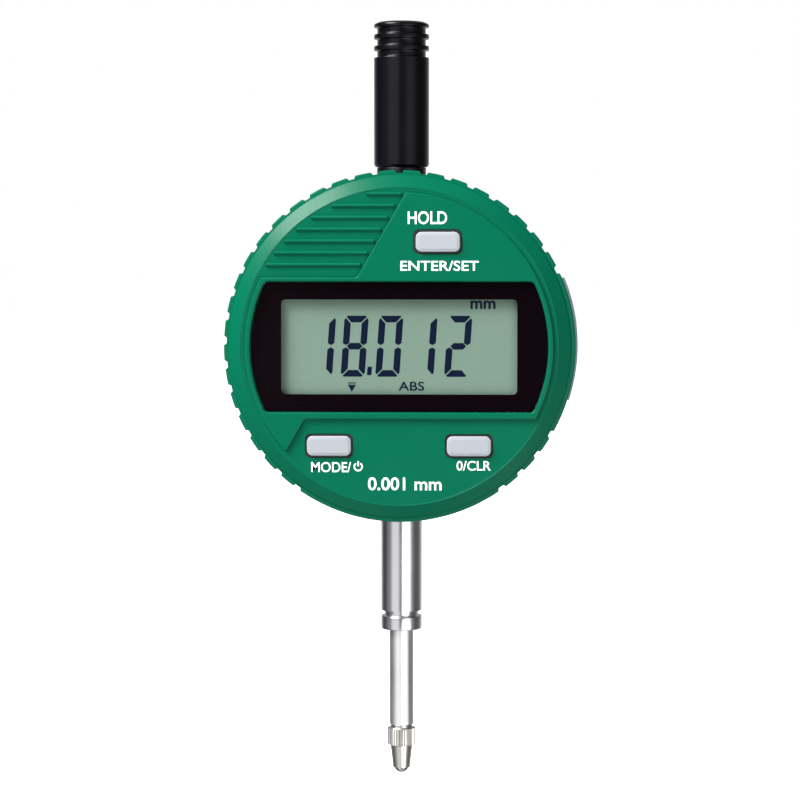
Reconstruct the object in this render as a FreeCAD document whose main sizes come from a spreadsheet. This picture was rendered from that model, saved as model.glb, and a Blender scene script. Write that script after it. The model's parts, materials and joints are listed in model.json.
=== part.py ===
import FreeCAD, Part
import math
import os
import re
import Sketcher
from FreeCAD import Vector

# Electronic dial indicator. The frame's origin lies on the stem axis in the middle of the
# stem's clamping length: +Z runs up the stem, the display faces -Y and +X is to the right.
# Every sub-part is drawn about the dial's centre and lifted by dial_height. "Forward" sizes
# are distances in front of the stem axis, so a forward size of 13 lies at Y = -13.
SIZES = {
    # place of the dial's centre above the origin
    "dial_height": 42.25,
    # shared fits
    "slip_gap": 0.05,
    "seat_gap": 0.02,
    # front bezel
    "rim_radius": 33.5,
    "rim_back": 5.8,
    "shoulder_radius": 33.1,
    "shoulder_front": 11.3,
    "rim_front": 10.8,
    "bevel_outer": 32.5,
    "bevel_base": 11.6,
    "lip_radius": 30.3,
    "lip_front": 13.2,
    "groove_outer": 30.0,
    "raised_radius": 29.3,
    "field_front": 12.9,
    "raised_front": 13.6,
    "cavity_radius": 31.6,
    "wall_inner": 11.2,
    "raised_top": 13.2,
    "raised_bottom": 13.7,
    "upper_slope_foot": 7.95,
    "lower_slope_top": 17.9,
    "slope_rise": 1.732,
    "rib_top": 29.0,
    "rib_pitch": 2.23,
    "rib_width": 0.55,
    "rib_depth": 0.35,
    "rib_gap": 0.7,
    "notch_step": 8,
    "notch_depth": 0.55,
    "notch_rim_angle": 1.43,
    "notch_floor_angle": 1.0,
    # display
    "window_radius": 28.3,
    "window_half_height": 12.4,
    "window_front": 13.55,
    "window_back": 12.45,
    "ledge_front": 12.35,
    "aperture_width": 46.4,
    "aperture_height": 19.6,
    "lcd_width": 52,
    "lcd_height": 24,
    "lcd_front": 11.1,
    "lcd_back": 9.5,
    "frame_width": 56,
    "frame_height": 27,
    "frame_radius": 30.4,
    "strip_length": 46,
    "strip_width": 1.6,
    "strip_height": 10.6,
    "board_front": 8.9,
    "board_back": 8.1,
    "board_radius": 30.8,
    "chip_size": 6,
    "chip_place": 22,
    "chip_back": 7.4,
    # keys
    "key_width": 8.4,
    "key_height": 3.8,
    "opening_width": 8.9,
    "opening_height": 4.35,
    "key_corner": 1.1,
    "key_proud": 0.6,
    "key_flange": 1.0,
    "key_flange_front": 11.1,
    "key_flange_back": 10.5,
    "plunger_back": 10.05,
    "plunger_radius": 1.2,
    "dome_radius": 2.2,
    "dome_front": 9.4,
    "start_across": 7.4,
    "start_up": 19.9,
    "lower_key_across": 13.3,
    "lower_key_down": 18.8,
    # screws of the dial
    "pillar_across": 22.5,
    "pillar_up": 17,
    "pillar_radius": 1.9,
    "small_thread": 0.8,
    "small_head": 1.5,
    "head_depth": 0.75,
    # dial back plate and its bearing on the hub
    "plate_front": 7.05,
    "hub_radius": 14,
    "hub_inner": 10.8,
    "hub_front": 7.15,
    "ring_radius": 16,
    "ring_front": 7.9,
    "ring_screw_circle": 12.3,
    "ring_thread": 0.7,
    "ring_head": 1.25,
    "oring_depth": 0.6,
    "flex_inner": 8.4,
    "flex_outer": 10.4,
    "flex_back": 4.2,
    # rear housing
    "housing_radius": 32.6,
    "housing_inner": 30.6,
    "housing_front": 5.4,
    "housing_floor": 4.15,
    "housing_chamfer": 0.45,
    "housing_rear": 8.6,
    "boss_half_width": 6,
    "boss_inner": 24,
    "boss_outer": 31.2,
    "boss_rear": 6,
    "neck_seat": 31.6,
    "cover_screw_place": 19.94,
    "cover_boss_radius": 2.8,
    "post_across": 21,
    "post_up": 12,
    "post_middle": 17.5,
    "post_radius": 1.6,
    "port_width": 5.8,
    "port_height": 10,
    "port_start": 27.2,
    "port_end": 31.8,
    # stem and bushes
    "stem_radius": 4.0,
    "stem_bore": 3.1,
    "stem_end_bore": 2.8,
    "groove_radius": 3.3,
    "groove_top": 51.9,
    "groove_bottom": 52.9,
    "stem_end": 55.6,
    "stem_chamfer": 0.35,
    "bush_low": 50.5,
    "bush_high": 42.5,
    "wiper_low": 55.2,
    "wiper_high": 53.6,
    "neck_radius": 4.75,
    "neck_top": 34.3,
    "spigot_radius": 3.7,
    "spigot_top": 39.5,
    # dust cap
    "cap_radius": 5.3,
    "cap_groove_radius": 4.67,
    "cap_bottom": 34.4,
    "cap_edge": 61.4,
    "cap_crown": 62.45,
    "cap_bore_top": 60.8,
    "cap_groove_top": 61.3,
    "cap_groove_pitch": 2.22,
    "cap_groove_width": 1.35,
    # spindle
    "spindle_radius": 2.38,
    "spindle_low": 74.5,
    "spindle_top": 46.5,
    "spindle_chamfer": 0.3,
    "travel": 13,
    "thread_radius": 1.25,
    "thread_length": 6,
    "knurl_radius": 2.75,
    "knurl_top": 75.0,
    "knurl_low": 78.5,
    "contact_neck": 2.1,
    "cone_top_radius": 2.16,
    "cone_low_radius": 1.665,
    "cone_low": 83.0,
    "tip_low": 84.1,
    "ball_radius": 1.5,
    # carrier, scale and guide
    "carrier_left": 4.6,
    "carrier_right": 8,
    "carrier_front": 3.6,
    "carrier_back": 4.55,
    "carrier_low": 21.95,
    "carrier_top": 8,
    "pin_radius": 1.0,
    "pin_height": 15,
    "pin_end": 12.1,
    "clamp_across": 5.5,
    "clamp_down": 11,
    "scale_half_width": 4,
    "scale_front": 4.6,
    "scale_back": 5.2,
    "scale_low": 21,
    "scale_top": 9,
    "reader_front": 5.35,
    "reader_low": 8,
    "reader_top": 14,
    "sensor_front": 5.7,
    "sensor_back": 6.5,
    "sensor_right": 24,
    "sensor_up": 16,
    "rail_left": 10.3,
    "rail_right": 15.3,
    "rail_rear": 3.5,
    "rail_low": 22,
    "rail_top": 6,
    "rail_slot_end": 12.5,
    "rail_screw_across": 13.9,
    "rail_screw_low": 19,
    "rail_screw_top": 3,
    "bumper_radius": 3.95,
    "bumper_inner": 2.8,
    "bumper_top": 22,
    "sleeve_inner": 2.7,
    "sleeve_outer": 3.3,
    "sleeve_flange": 3.95,
    "spring_radius": 3.7,
    "spring_wire": 0.25,
    "spring_turns": 14,
    # battery and its compartment
    "cell_across": 16.5,
    "cell_up": 4,
    "cell_radius": 10,
    "cell_cap_radius": 8.8,
    "cell_front": 4.8,
    "cell_step": 5.2,
    "cell_rear": 8.0,
    "holder_inner": 10.15,
    "holder_outer": 11.1,
    "holder_floor_front": 3.4,
    "holder_floor_rear": 4.0,
    "holder_rear": 8.35,
    "leaf_outer": 7,
    "leaf_inner": 2.5,
    "leaf_thickness": 0.2,
    "plug_front": 8.4,
    "plug_radius": 10.9,
    "plug_groove_radius": 10.4,
    "plug_groove_front": 8.65,
    "plug_groove_rear": 9.4,
    "flange_front": 9.7,
    "flange_radius": 12.4,
    "slot_length": 12,
    "slot_width": 1.8,
    "slot_depth": 0.9,
    # back cover and lug
    "cover_rear": 11.0,
    "cover_chamfer": 0.8,
    "gasket_inner": 31.0,
    "gasket_outer": 31.8,
    "gasket_depth": 0.5,
    "cover_thread": 1.0,
    "cover_head": 1.9,
    "cover_head_front": 9.6,
    "lug_half_width": 2.5,
    "lug_radius": 6.5,
    "lug_hole": 3.25,
    "lug_centre": 19,
    # side cover over the data port
    "side_inner": 32.75,
    "side_outer": 34.1,
    "side_front": 4.3,
    "side_rear": 7.0,
    "side_upper_angle": 22.5,
    "side_lower_angle": 18,
    "contact_pin": 0.4,
    "contact_pitch": 2,
    "contact_pin_end": 32.4,
}

doc = FreeCAD.newDocument("dial_indicator")
sheet = doc.addObject("Spreadsheet::Sheet", "dims")
for row, (alias, number) in enumerate(SIZES.items(), start=1):
    sheet.set(f"A{row}", alias)
    sheet.set(f"B{row}", str(number))
    sheet.setAlias(f"B{row}", alias)
doc.recompute()
PARTS = []


def bind(text):
    """Put the sheet's name before each size named in an expression."""
    return re.sub(r"[a-z_]+", lambda word: "dims." * (word.group() in SIZES) + word.group(), str(text))


def value(text):
    """Work out an expression of sheet sizes."""
    return float(sheet.evalExpression(bind(text)))


def keep(piece, label):
    """Lift a finished sub-part to the dial's height and list it under its own name."""
    piece.Label = label
    piece.setExpression("Placement.Base.z", bind("dial_height"))
    PARTS.append(piece)
    return piece


def new_body(label):
    """Start a sub-part that is made from sketches."""
    return keep(doc.addObject("PartDesign::Body", label), label)


def draw(piece, plane, offset, loops):
    """Sketch closed loops, bound to the sheet, on a plane parallel to one of the body's own."""
    sketch = piece.newObject("Sketcher::SketchObject", "outline")
    base = next(item for item in piece.Origin.OriginFeatures if item.Role == plane)
    sketch.AttachmentSupport = (base, [""])
    sketch.MapMode = "FlatFace"
    sketch.setExpression("AttachmentOffset.Base.z", bind(offset))
    for loop in loops:
        if isinstance(loop, tuple):
            draw_circle(sketch, *loop)
        else:
            draw_polygon(sketch, loop)
    return sketch


def place_point(sketch, index, vertex, across, along):
    """Tie one point of a sketch to its two coordinates."""
    for kind, text, axis in (("DistanceX", across, -2), ("DistanceY", along, -1)):
        distance = value(text)
        if abs(distance) < 1e-9:
            sketch.addConstraint(Sketcher.Constraint("PointOnObject", index, vertex, axis))
        else:
            rule = sketch.addConstraint(Sketcher.Constraint(kind, -1, 1, index, vertex, distance))
            sketch.setExpression(f"Constraints[{rule}]", bind(text))


def draw_polygon(sketch, points):
    """Draw straight edges from point to point and back to the first."""
    places = [Vector(value(across), value(along), 0) for across, along in points]
    first = sketch.GeometryCount
    for index, start in enumerate(places):
        sketch.addGeometry(Part.LineSegment(start, places[(index + 1) % len(places)]), False)
    for index, (across, along) in enumerate(points):
        following = first + (index + 1) % len(points)
        sketch.addConstraint(Sketcher.Constraint("Coincident", first + index, 2, following, 1))
        place_point(sketch, first + index, 1, across, along)


def draw_circle(sketch, across, along, radius):
    """Draw one circle."""
    centre = Vector(value(across), value(along), 0)
    index = sketch.addGeometry(Part.Circle(centre, Vector(0, 0, 1), value(radius)), False)
    rule = sketch.addConstraint(Sketcher.Constraint("Radius", index, value(radius)))
    sketch.setExpression(f"Constraints[{rule}]", bind(radius))
    place_point(sketch, index, 3, across, along)


def add(piece, plane, loops, low, high):
    """Pad loops between two distances along the plane's normal."""
    feature = piece.newObject("PartDesign::Pad", "pad")
    feature.Profile = draw(piece, plane, low, loops)
    feature.setExpression("Length", bind(f"{high} - ({low})"))
    doc.recompute()
    return feature


def cut(piece, plane, loops, low, high):
    """Pocket loops between two distances along the plane's normal."""
    before = piece.Shape.Volume
    feature = piece.newObject("PartDesign::Pocket", "pocket")
    feature.Profile = draw(piece, plane, high, loops)
    feature.setExpression("Length", bind(f"{high} - ({low})"))
    doc.recompute()
    if piece.Shape.Volume >= before:
        raise RuntimeError(f"{piece.Label}: a pocket removed nothing")
    return feature


def turn(piece, plane, points, kind="PartDesign::Revolution"):
    """Turn a profile about its sketch's upright axis."""
    feature = piece.newObject(kind, "turning")
    feature.Profile = draw(piece, plane, "0", [points])
    feature.ReferenceAxis = (feature.Profile[0], ["V_Axis"])
    feature.Angle = 360
    doc.recompute()
    return feature


def turned_up(label, points):
    """Make a sub-part turned about the stem axis from (radius, height) points."""
    piece = new_body(label)
    turn(piece, "XZ_Plane", points)
    return piece


def dial_profile(points):
    """Change (radius, forward) points into sketch points on the XY plane."""
    return [(radius, f"-({forward})") for radius, forward in points]


def turned_dial(label, points):
    """Make a sub-part turned about the dial's own axis from (radius, forward) points."""
    piece = new_body(label)
    turn(piece, "XY_Plane", dial_profile(points))
    return piece


def box(left, right, low, high):
    """List the corners of an upright rectangle."""
    return [(left, low), (right, low), (right, high), (left, high)]


def box_about(across, along, width, height):
    """List the corners of a rectangle about its centre."""
    return box(f"{across} - {width} / 2", f"{across} + {width} / 2",
               f"{along} - {height} / 2", f"{along} + {height} / 2")


def round_corners(piece, corners, radius, axis="y"):
    """Fillet the edges that run along one axis through the given corners."""
    places = [(value(across), value(along)) for across, along in corners]
    others = [name for name in "xyz" if name != axis]
    names = []
    for number, edge in enumerate(piece.Shape.Edges, start=1):
        if not isinstance(edge.Curve, Part.Line) or abs(getattr(edge.Curve.Direction, axis)) < 0.999:
            continue
        middle = edge.CenterOfMass
        lift = value("dial_height")
        here = [getattr(middle, name) - (lift if name == "z" else 0) for name in others]
        if any(math.dist(here, place) < 0.01 for place in places):
            names.append(f"Edge{number}")
    base = piece.Tip
    feature = piece.newObject("PartDesign::Fillet", "rounding")
    feature.Base = (base, names)
    feature.setExpression("Radius", bind(radius))
    doc.recompute()


def four_places(across, up):
    """List a place in each quarter of the dial."""
    return [(f"{side} * {across}", f"{level} * {up}") for side in (1, -1) for level in (1, -1)]


def circles(places, radius):
    """List equal circles at the given places."""
    return [(across, along, radius) for across, along in places]


def ring_places():
    """List the three places of the retaining ring's screws."""
    return [(f"ring_screw_circle * sin({angle})", f"ring_screw_circle * cos({angle})")
            for angle in (0, 120, 240)]


# (centre across, centre up, level of the face that the key stands on)
KEYS = {
    "start_key": ("start_across", "start_up", "raised_front"),
    "mode_key": ("-lower_key_across", "-lower_key_down", "field_front"),
    "zero_key": ("lower_key_across", "-lower_key_down", "field_front"),
}
PILLARS = four_places("pillar_across", "pillar_up")
COVER_SCREWS = four_places("cover_screw_place", "cover_screw_place")
POSTS = [("post_across", "post_up"), ("post_across", "-post_up"), ("post_middle", "0")]
RAIL_SCREWS = [("rail_screw_across", "-rail_screw_low"), ("rail_screw_across", "rail_screw_top")]


def upper_slope(height):
    """Give the place across of the raised face's upper slope at a height."""
    return f"(-upper_slope_foot + (({height}) - raised_top) / slope_rise)"


def raised_outline():
    """Outline the raised face: a band across the dial that widens at the upper right and lower left."""
    reach = "rim_radius"
    lower_end = f"(-lower_slope_top - ({reach} - raised_bottom) / slope_rise)"
    return [(upper_slope(reach), reach), (reach, reach), (reach, "-raised_bottom"),
            ("-lower_slope_top", "-raised_bottom"), (lower_end, f"-{reach}"),
            (f"-{reach}", f"-{reach}"), (f"-{reach}", "raised_top"),
            ("-upper_slope_foot", "raised_top")]


def rib_outline(number):
    """Outline one rib, from the lip to just short of the upper slope."""
    level = f"(rib_top - {number} * rib_pitch)"
    left = f"-sqrt(groove_outer ^ 2 - ({level} + rib_width / 2) ^ 2)"
    low_right = f"{upper_slope(f'{level} - rib_width / 2')} - rib_gap"
    high_right = f"{upper_slope(f'{level} + rib_width / 2')} - rib_gap"
    return [(left, f"{level} - rib_width / 2"), (low_right, f"{level} - rib_width / 2"),
            (high_right, f"{level} + rib_width / 2"), (left, f"{level} + rib_width / 2")]


def notch_outline(angle):
    """Outline one rim notch at an angle measured clockwise from the top."""
    spread = [("rim_radius + notch_depth", "-notch_rim_angle - 0.4"),
              ("rim_radius - notch_depth", "-notch_floor_angle"),
              ("rim_radius - notch_depth", "notch_floor_angle"),
              ("rim_radius + notch_depth", "notch_rim_angle + 0.4")]
    return [(f"({radius}) * sin({angle} + ({turned}))", f"({radius}) * cos({angle} + ({turned}))")
            for radius, turned in spread]


def cut_notches(piece, first, count):
    """Cut a run of equal notches in the rim, clockwise from the first."""
    loops = [notch_outline(f"({first} + {number} * notch_step)") for number in range(count)]
    cut(piece, "XZ_Plane", loops, "rim_back - 1", "raised_front")


def arc_sided_plate(label, radius, half_height, back, front):
    """Make a plate with straight top and bottom edges and arcs at its ends."""
    disc = doc.addObject("Part::Cylinder", "disc")
    disc.setExpression("Radius", bind(radius))
    disc.setExpression("Height", bind(f"{front} - {back}"))
    disc.Placement.Rotation = FreeCAD.Rotation(Vector(1, 0, 0), 90)
    disc.setExpression("Placement.Base.y", bind(f"-({back})"))
    bar = doc.addObject("Part::Box", "bar")
    bar.setExpression("Length", bind(f"2 * ({radius}) + 2"))
    bar.setExpression("Width", bind(f"{front} - {back}"))
    bar.setExpression("Height", bind(f"2 * ({half_height})"))
    bar.setExpression("Placement.Base.x", bind(f"-({radius}) - 1"))
    bar.setExpression("Placement.Base.y", bind(f"-({front})"))
    bar.setExpression("Placement.Base.z", bind(f"-({half_height})"))
    plate = doc.addObject("Part::Common", label)
    plate.Base = disc
    plate.Tool = bar
    doc.recompute()
    return plate


def front_bezel():
    """The moulded front: notched rim, bevel, raised face, ribs, window seat and key openings."""
    blank = new_body("bezel_blank")
    add(blank, "XZ_Plane", [("0", "0", "rim_radius")], "rim_back", "field_front")
    add(blank, "XZ_Plane", [raised_outline()], "field_front - 1", "raised_front")
    ribs = [rib_outline(number) for number in range(7)]
    add(blank, "XZ_Plane", ribs, "field_front - 0.2", "field_front + rib_depth")
    turn(blank, "XY_Plane", dial_profile([
        ("raised_radius", "raised_front + 1"), ("raised_radius", "field_front"),
        ("groove_outer", "field_front"), ("lip_radius", "lip_front"),
        ("bevel_outer", "bevel_base"), ("shoulder_radius", "shoulder_front"),
        ("rim_radius", "rim_front"), ("rim_radius * 2", "rim_front"),
        ("rim_radius * 2", "raised_front + 1")]), "PartDesign::Groove")
    turn(blank, "XY_Plane", dial_profile([
        ("groove_outer", "field_front"), ("lip_radius", "lip_front"),
        ("bevel_outer", "bevel_base"), ("groove_outer", "bevel_base")]))
    cut(blank, "XZ_Plane", [("0", "0", "cavity_radius")], "rim_back - 1", "wall_inner")
    add(blank, "XZ_Plane", circles(PILLARS, "pillar_radius"), "plate_front", "wall_inner + 0.5")
    cut(blank, "XZ_Plane", circles(PILLARS, "small_thread"), "plate_front - 1", "wall_inner - 1")
    aperture = box_about("0", "0", "aperture_width", "aperture_height")
    cut(blank, "XZ_Plane", [aperture], "wall_inner - 1", "raised_front")
    for across, along, level in KEYS.values():
        opening = box_about(across, along, "opening_width", "opening_height")
        cut(blank, "XZ_Plane", [opening], "wall_inner - 0.1", "raised_front + 0.1")
        round_corners(blank, opening, "key_corner")
    cut_notches(blank, -144, 27)
    cut_notches(blank, 120, 4)
    blank.Placement.Base.z = 0
    blank.setExpression("Placement.Base.z", None)
    PARTS.remove(blank)
    seat = arc_sided_plate("window_seat", "window_radius", "window_half_height",
                           "ledge_front", "raised_front + 1")
    bezel = doc.addObject("Part::Cut", "front_bezel")
    bezel.Base = blank
    bezel.Tool = seat
    keep(bezel, "front_bezel")


def display_window():
    """The glossy lens, dark round its edge."""
    keep(arc_sided_plate("display_window", "window_radius - slip_gap",
                         "window_half_height - slip_gap", "window_back", "window_front"),
         "display_window")


def window_adhesive():
    """The glued frame that holds the lens on its ledge."""
    sheet_part = arc_sided_plate("adhesive_sheet", "window_radius - slip_gap",
                                 "window_half_height - slip_gap", "ledge_front", "window_back")
    hole = doc.addObject("Part::Box", "adhesive_hole")
    hole.setExpression("Length", bind("aperture_width"))
    hole.setExpression("Width", "10")
    hole.setExpression("Height", bind("aperture_height"))
    hole.setExpression("Placement.Base.x", bind("-aperture_width / 2"))
    hole.setExpression("Placement.Base.y", bind("-ledge_front - 5"))
    hole.setExpression("Placement.Base.z", bind("-aperture_height / 2"))
    frame = doc.addObject("Part::Cut", "window_adhesive")
    frame.Base = sheet_part
    frame.Tool = hole
    keep(frame, "window_adhesive")


def display_parts():
    """The LCD, its holding frame, the zebra strips and the display board with its processor."""
    lcd = new_body("lcd_panel")
    add(lcd, "XZ_Plane", [box_about("0", "0", "lcd_width", "lcd_height")], "lcd_back", "lcd_front")

    frame = arc_sided_plate("lcd_frame_blank", "frame_radius", "frame_height / 2",
                            "board_front", "wall_inner")
    hole = doc.addObject("Part::Box", "lcd_frame_hole")
    hole.setExpression("Length", bind("lcd_width + 4 * slip_gap"))
    hole.setExpression("Width", "10")
    hole.setExpression("Height", bind("lcd_height + 4 * slip_gap"))
    hole.setExpression("Placement.Base.x", bind("-lcd_width / 2 - 2 * slip_gap"))
    hole.setExpression("Placement.Base.y", bind("-wall_inner - 1"))
    hole.setExpression("Placement.Base.z", bind("-lcd_height / 2 - 2 * slip_gap"))
    holder = doc.addObject("Part::Cut", "lcd_frame")
    holder.Base = frame
    holder.Tool = hole
    keep(holder, "lcd_frame")

    strips = new_body("zebra_strips")
    loops = [box_about("0", f"{side} * strip_height", "strip_length", "strip_width") for side in (1, -1)]
    add(strips, "XZ_Plane", loops, "board_front", "lcd_back")

    board = new_body("display_board")
    holes = circles(PILLARS, "pillar_radius + 0.2")
    add(board, "XZ_Plane", [("0", "0", "board_radius")] + holes, "board_back", "board_front")

    chip = new_body("display_processor")
    outline = box_about("-chip_place", "0", "chip_size", "chip_size")
    add(chip, "XZ_Plane", [outline], "chip_back", "board_back")


def keys():
    """Three keys with flange and plunger, the seals round them and the domes that return them."""
    seals = new_body("key_seals")
    domes = new_body("dome_switches")
    for name, (across, along, level) in KEYS.items():
        key = new_body(name)
        cap = box_about(across, along, "key_width", "key_height")
        flange = box_about(across, along, "(key_width + 2 * key_flange)", "(key_height + 2 * key_flange)")
        add(key, "XZ_Plane", [cap], "key_flange_back", f"{level} + key_proud")
        round_corners(key, cap, "key_corner")
        add(key, "XZ_Plane", [flange], "key_flange_back", "key_flange_front")
        add(key, "XZ_Plane", [(across, along, "plunger_radius")], "plunger_back", "key_flange_back")
        outer = box_about(across, along, "(opening_width - 2 * seat_gap)", "(opening_height - 2 * seat_gap)")
        inner = box_about(across, along, "(key_width + 2 * slip_gap)", "(key_height + 2 * slip_gap)")
        add(seals, "XZ_Plane", [outer, inner], "wall_inner", f"{level} - 0.15")
        round_corners(seals, outer, "key_corner")
        round_corners(seals, inner, "key_corner - 0.2")
        add(domes, "XZ_Plane", [(across, along, "dome_radius")], "board_front", "dome_front")


def dial_back_plate():
    """The plate that closes the dial from behind and runs on the housing's hub."""
    plate = turned_dial("dial_back_plate", [
        ("hub_radius + slip_gap", "rim_back"), ("cavity_radius - slip_gap", "rim_back"),
        ("cavity_radius - slip_gap", "plate_front"), ("hub_radius + slip_gap", "plate_front")])
    cut(plate, "XZ_Plane", circles(PILLARS, "small_thread"), "rim_back - 1", "plate_front + 1")
    cut(plate, "XZ_Plane", circles(PILLARS, "small_head + slip_gap"), "rim_back - 1",
        "rim_back + head_depth + slip_gap")


def screws(label, places, thread, head, tip, seat, top):
    """Make a group of equal screws that point along the dial's axis, each a separate solid."""
    group = new_body(label)
    low, high = (tip, seat) if value(tip) < value(seat) else (seat, tip)
    add(group, "XZ_Plane", circles(places, f"{thread} - seat_gap"), low, high)
    low, high = (top, seat) if value(top) < value(seat) else (seat, top)
    add(group, "XZ_Plane", circles(places, head), low, high)


def hub_parts():
    """What keeps the dial on the hub, seals it and carries its signals."""
    ring = turned_dial("dial_retaining_ring", [
        ("hub_inner", "hub_front"), ("ring_radius", "hub_front"),
        ("ring_radius", "ring_front"), ("hub_inner", "ring_front")])
    cut(ring, "XZ_Plane", circles(ring_places(), "ring_thread"), "hub_front - 1", "ring_front + 1")
    cut(ring, "XZ_Plane", circles(ring_places(), "ring_head + slip_gap"), "ring_front - 0.45",
        "ring_front + 1")
    screws("retaining_ring_screws", ring_places(), "ring_thread", "ring_head",
           "housing_front - 0.8", "ring_front - 0.45", "ring_front - seat_gap")
    turned_dial("dial_oring", [
        ("hub_radius - oring_depth + seat_gap", "rim_back"), ("hub_radius - seat_gap", "rim_back"),
        ("hub_radius - seat_gap", "plate_front - 0.25"),
        ("hub_radius - oring_depth + seat_gap", "plate_front - 0.25")])
    turned_dial("display_flex", [
        ("flex_inner", "flex_back"), ("flex_outer", "flex_back"),
        ("flex_outer", "ring_front - 0.2"), ("flex_inner", "ring_front - 0.2")])


def rear_housing():
    """The cup that carries everything: hub in front, stem and neck bosses, posts and data port."""
    cup = turned_dial("rear_housing", [
        ("hub_inner", "housing_floor"), ("hub_inner", "hub_front"), ("hub_radius", "hub_front"),
        ("hub_radius", "plate_front - 0.2"), ("hub_radius - oring_depth", "plate_front - 0.2"),
        ("hub_radius - oring_depth", "rim_back - 0.05"), ("hub_radius", "rim_back - 0.05"),
        ("hub_radius", "housing_front"), ("housing_radius - housing_chamfer", "housing_front"),
        ("housing_radius", "housing_front - housing_chamfer"), ("housing_radius", "-housing_rear"),
        ("housing_inner", "-housing_rear"), ("housing_inner", "housing_floor")])
    for side in (1, -1):
        low, high = sorted((f"{side} * boss_inner", f"{side} * boss_outer"), key=value)
        boss = box("-boss_half_width", "boss_half_width", low, high)
        add(cup, "XZ_Plane", [boss], "-boss_rear", "housing_floor + 0.5")
    add(cup, "XZ_Plane", circles(COVER_SCREWS, "cover_boss_radius"), "-housing_rear",
        "housing_floor + 0.5")
    add(cup, "XZ_Plane", circles(POSTS, "post_radius"), "-sensor_front", "housing_floor + 0.5")
    cut(cup, "XZ_Plane", circles(COVER_SCREWS, "cover_thread"), "-housing_rear - 1",
        "-housing_rear + 6.6")
    cut(cup, "XZ_Plane", circles(POSTS, "small_thread"), "-sensor_front - 1", "-sensor_front + 4")
    cut(cup, "XZ_Plane", circles(RAIL_SCREWS, "small_thread"), "housing_floor - 1",
        "housing_floor + 0.9")
    cut(cup, "XZ_Plane", circles(ring_places(), "ring_thread"), "housing_front - 1", "hub_front + 1")
    cut(cup, "XY_Plane", [("0", "0", "stem_radius")], "-housing_radius - 2", "-boss_inner + 1")
    cut(cup, "XY_Plane", [("0", "0", "stem_radius")], "boss_inner - 1", "housing_radius + 1")
    cut(cup, "XY_Plane", [("0", "0", "neck_radius + slip_gap")], "neck_seat", "housing_radius + 1")
    port = box_about("0", "0", "(port_width + 4 * slip_gap)", "(port_height + 4 * slip_gap)")
    cut(cup, "YZ_Plane", [port], "port_start - 0.2", "housing_radius + 2")


def stem_parts():
    """The clamping stem and the bushes and wiper that the spindle runs in."""
    turned_up("stem", [
        ("stem_bore", "-boss_inner"), ("stem_radius - seat_gap", "-boss_inner"),
        ("stem_radius - seat_gap", "-housing_inner"), ("stem_radius", "-housing_radius"),
        ("stem_radius", "-groove_top"),
        ("groove_radius", "-groove_top"), ("groove_radius", "-groove_bottom"),
        ("stem_radius - stem_chamfer / 2", "-groove_bottom"),
        ("stem_radius", "-groove_bottom - stem_chamfer / 2"),
        ("stem_radius", "-stem_end + stem_chamfer"), ("stem_radius - stem_chamfer", "-stem_end"),
        ("stem_end_bore", "-stem_end"), ("stem_end_bore", "-bush_low"), ("stem_bore", "-bush_low")])
    turned_up("lower_bush", [
        ("spindle_radius + slip_gap", "-bush_low"), ("stem_bore - seat_gap", "-bush_low"),
        ("stem_bore - seat_gap", "-bush_high"), ("spindle_radius + slip_gap", "-bush_high")])
    turned_up("wiper_seal", [
        ("spindle_radius + slip_gap", "-wiper_low"), ("stem_end_bore - seat_gap", "-wiper_low"),
        ("stem_end_bore - seat_gap", "-wiper_high"), ("spindle_radius + slip_gap", "-wiper_high")])
    turned_up("upper_bush", [
        ("spindle_radius + slip_gap", "boss_inner"), ("stem_radius - seat_gap", "boss_inner"),
        ("stem_radius - seat_gap", "neck_seat"), ("neck_radius", "neck_seat"),
        ("neck_radius", "neck_top"), ("spigot_radius", "neck_top"),
        ("spigot_radius", "spigot_top - 0.3"), ("spigot_radius - 0.3", "spigot_top"),
        ("spindle_radius + slip_gap", "spigot_top")])


def dust_cap():
    """The tall cap over the spindle's upper end, with three grooves for the fingers."""
    outline = [("spigot_radius + slip_gap", "cap_bottom"), ("cap_radius - 0.4", "cap_bottom"),
               ("cap_radius", "cap_bottom + 0.4")]
    for number in (2, 1, 0):
        top = f"(cap_groove_top - {number} * cap_groove_pitch)"
        outline += [("cap_radius", f"{top} - cap_groove_width - 0.15"),
                    ("cap_groove_radius", f"{top} - cap_groove_width"),
                    ("cap_groove_radius", f"{top} - 0.15"), ("cap_radius", top)]
    outline += [("cap_radius", "cap_edge"), ("cap_radius - 0.5", "cap_edge + 0.5"),
                ("cap_radius * 0.55", "cap_crown - 0.15"), ("0", "cap_crown"),
                ("0", "cap_bore_top"), ("spigot_radius + slip_gap", "cap_bore_top")]
    turned_up("dust_cap", outline)


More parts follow.
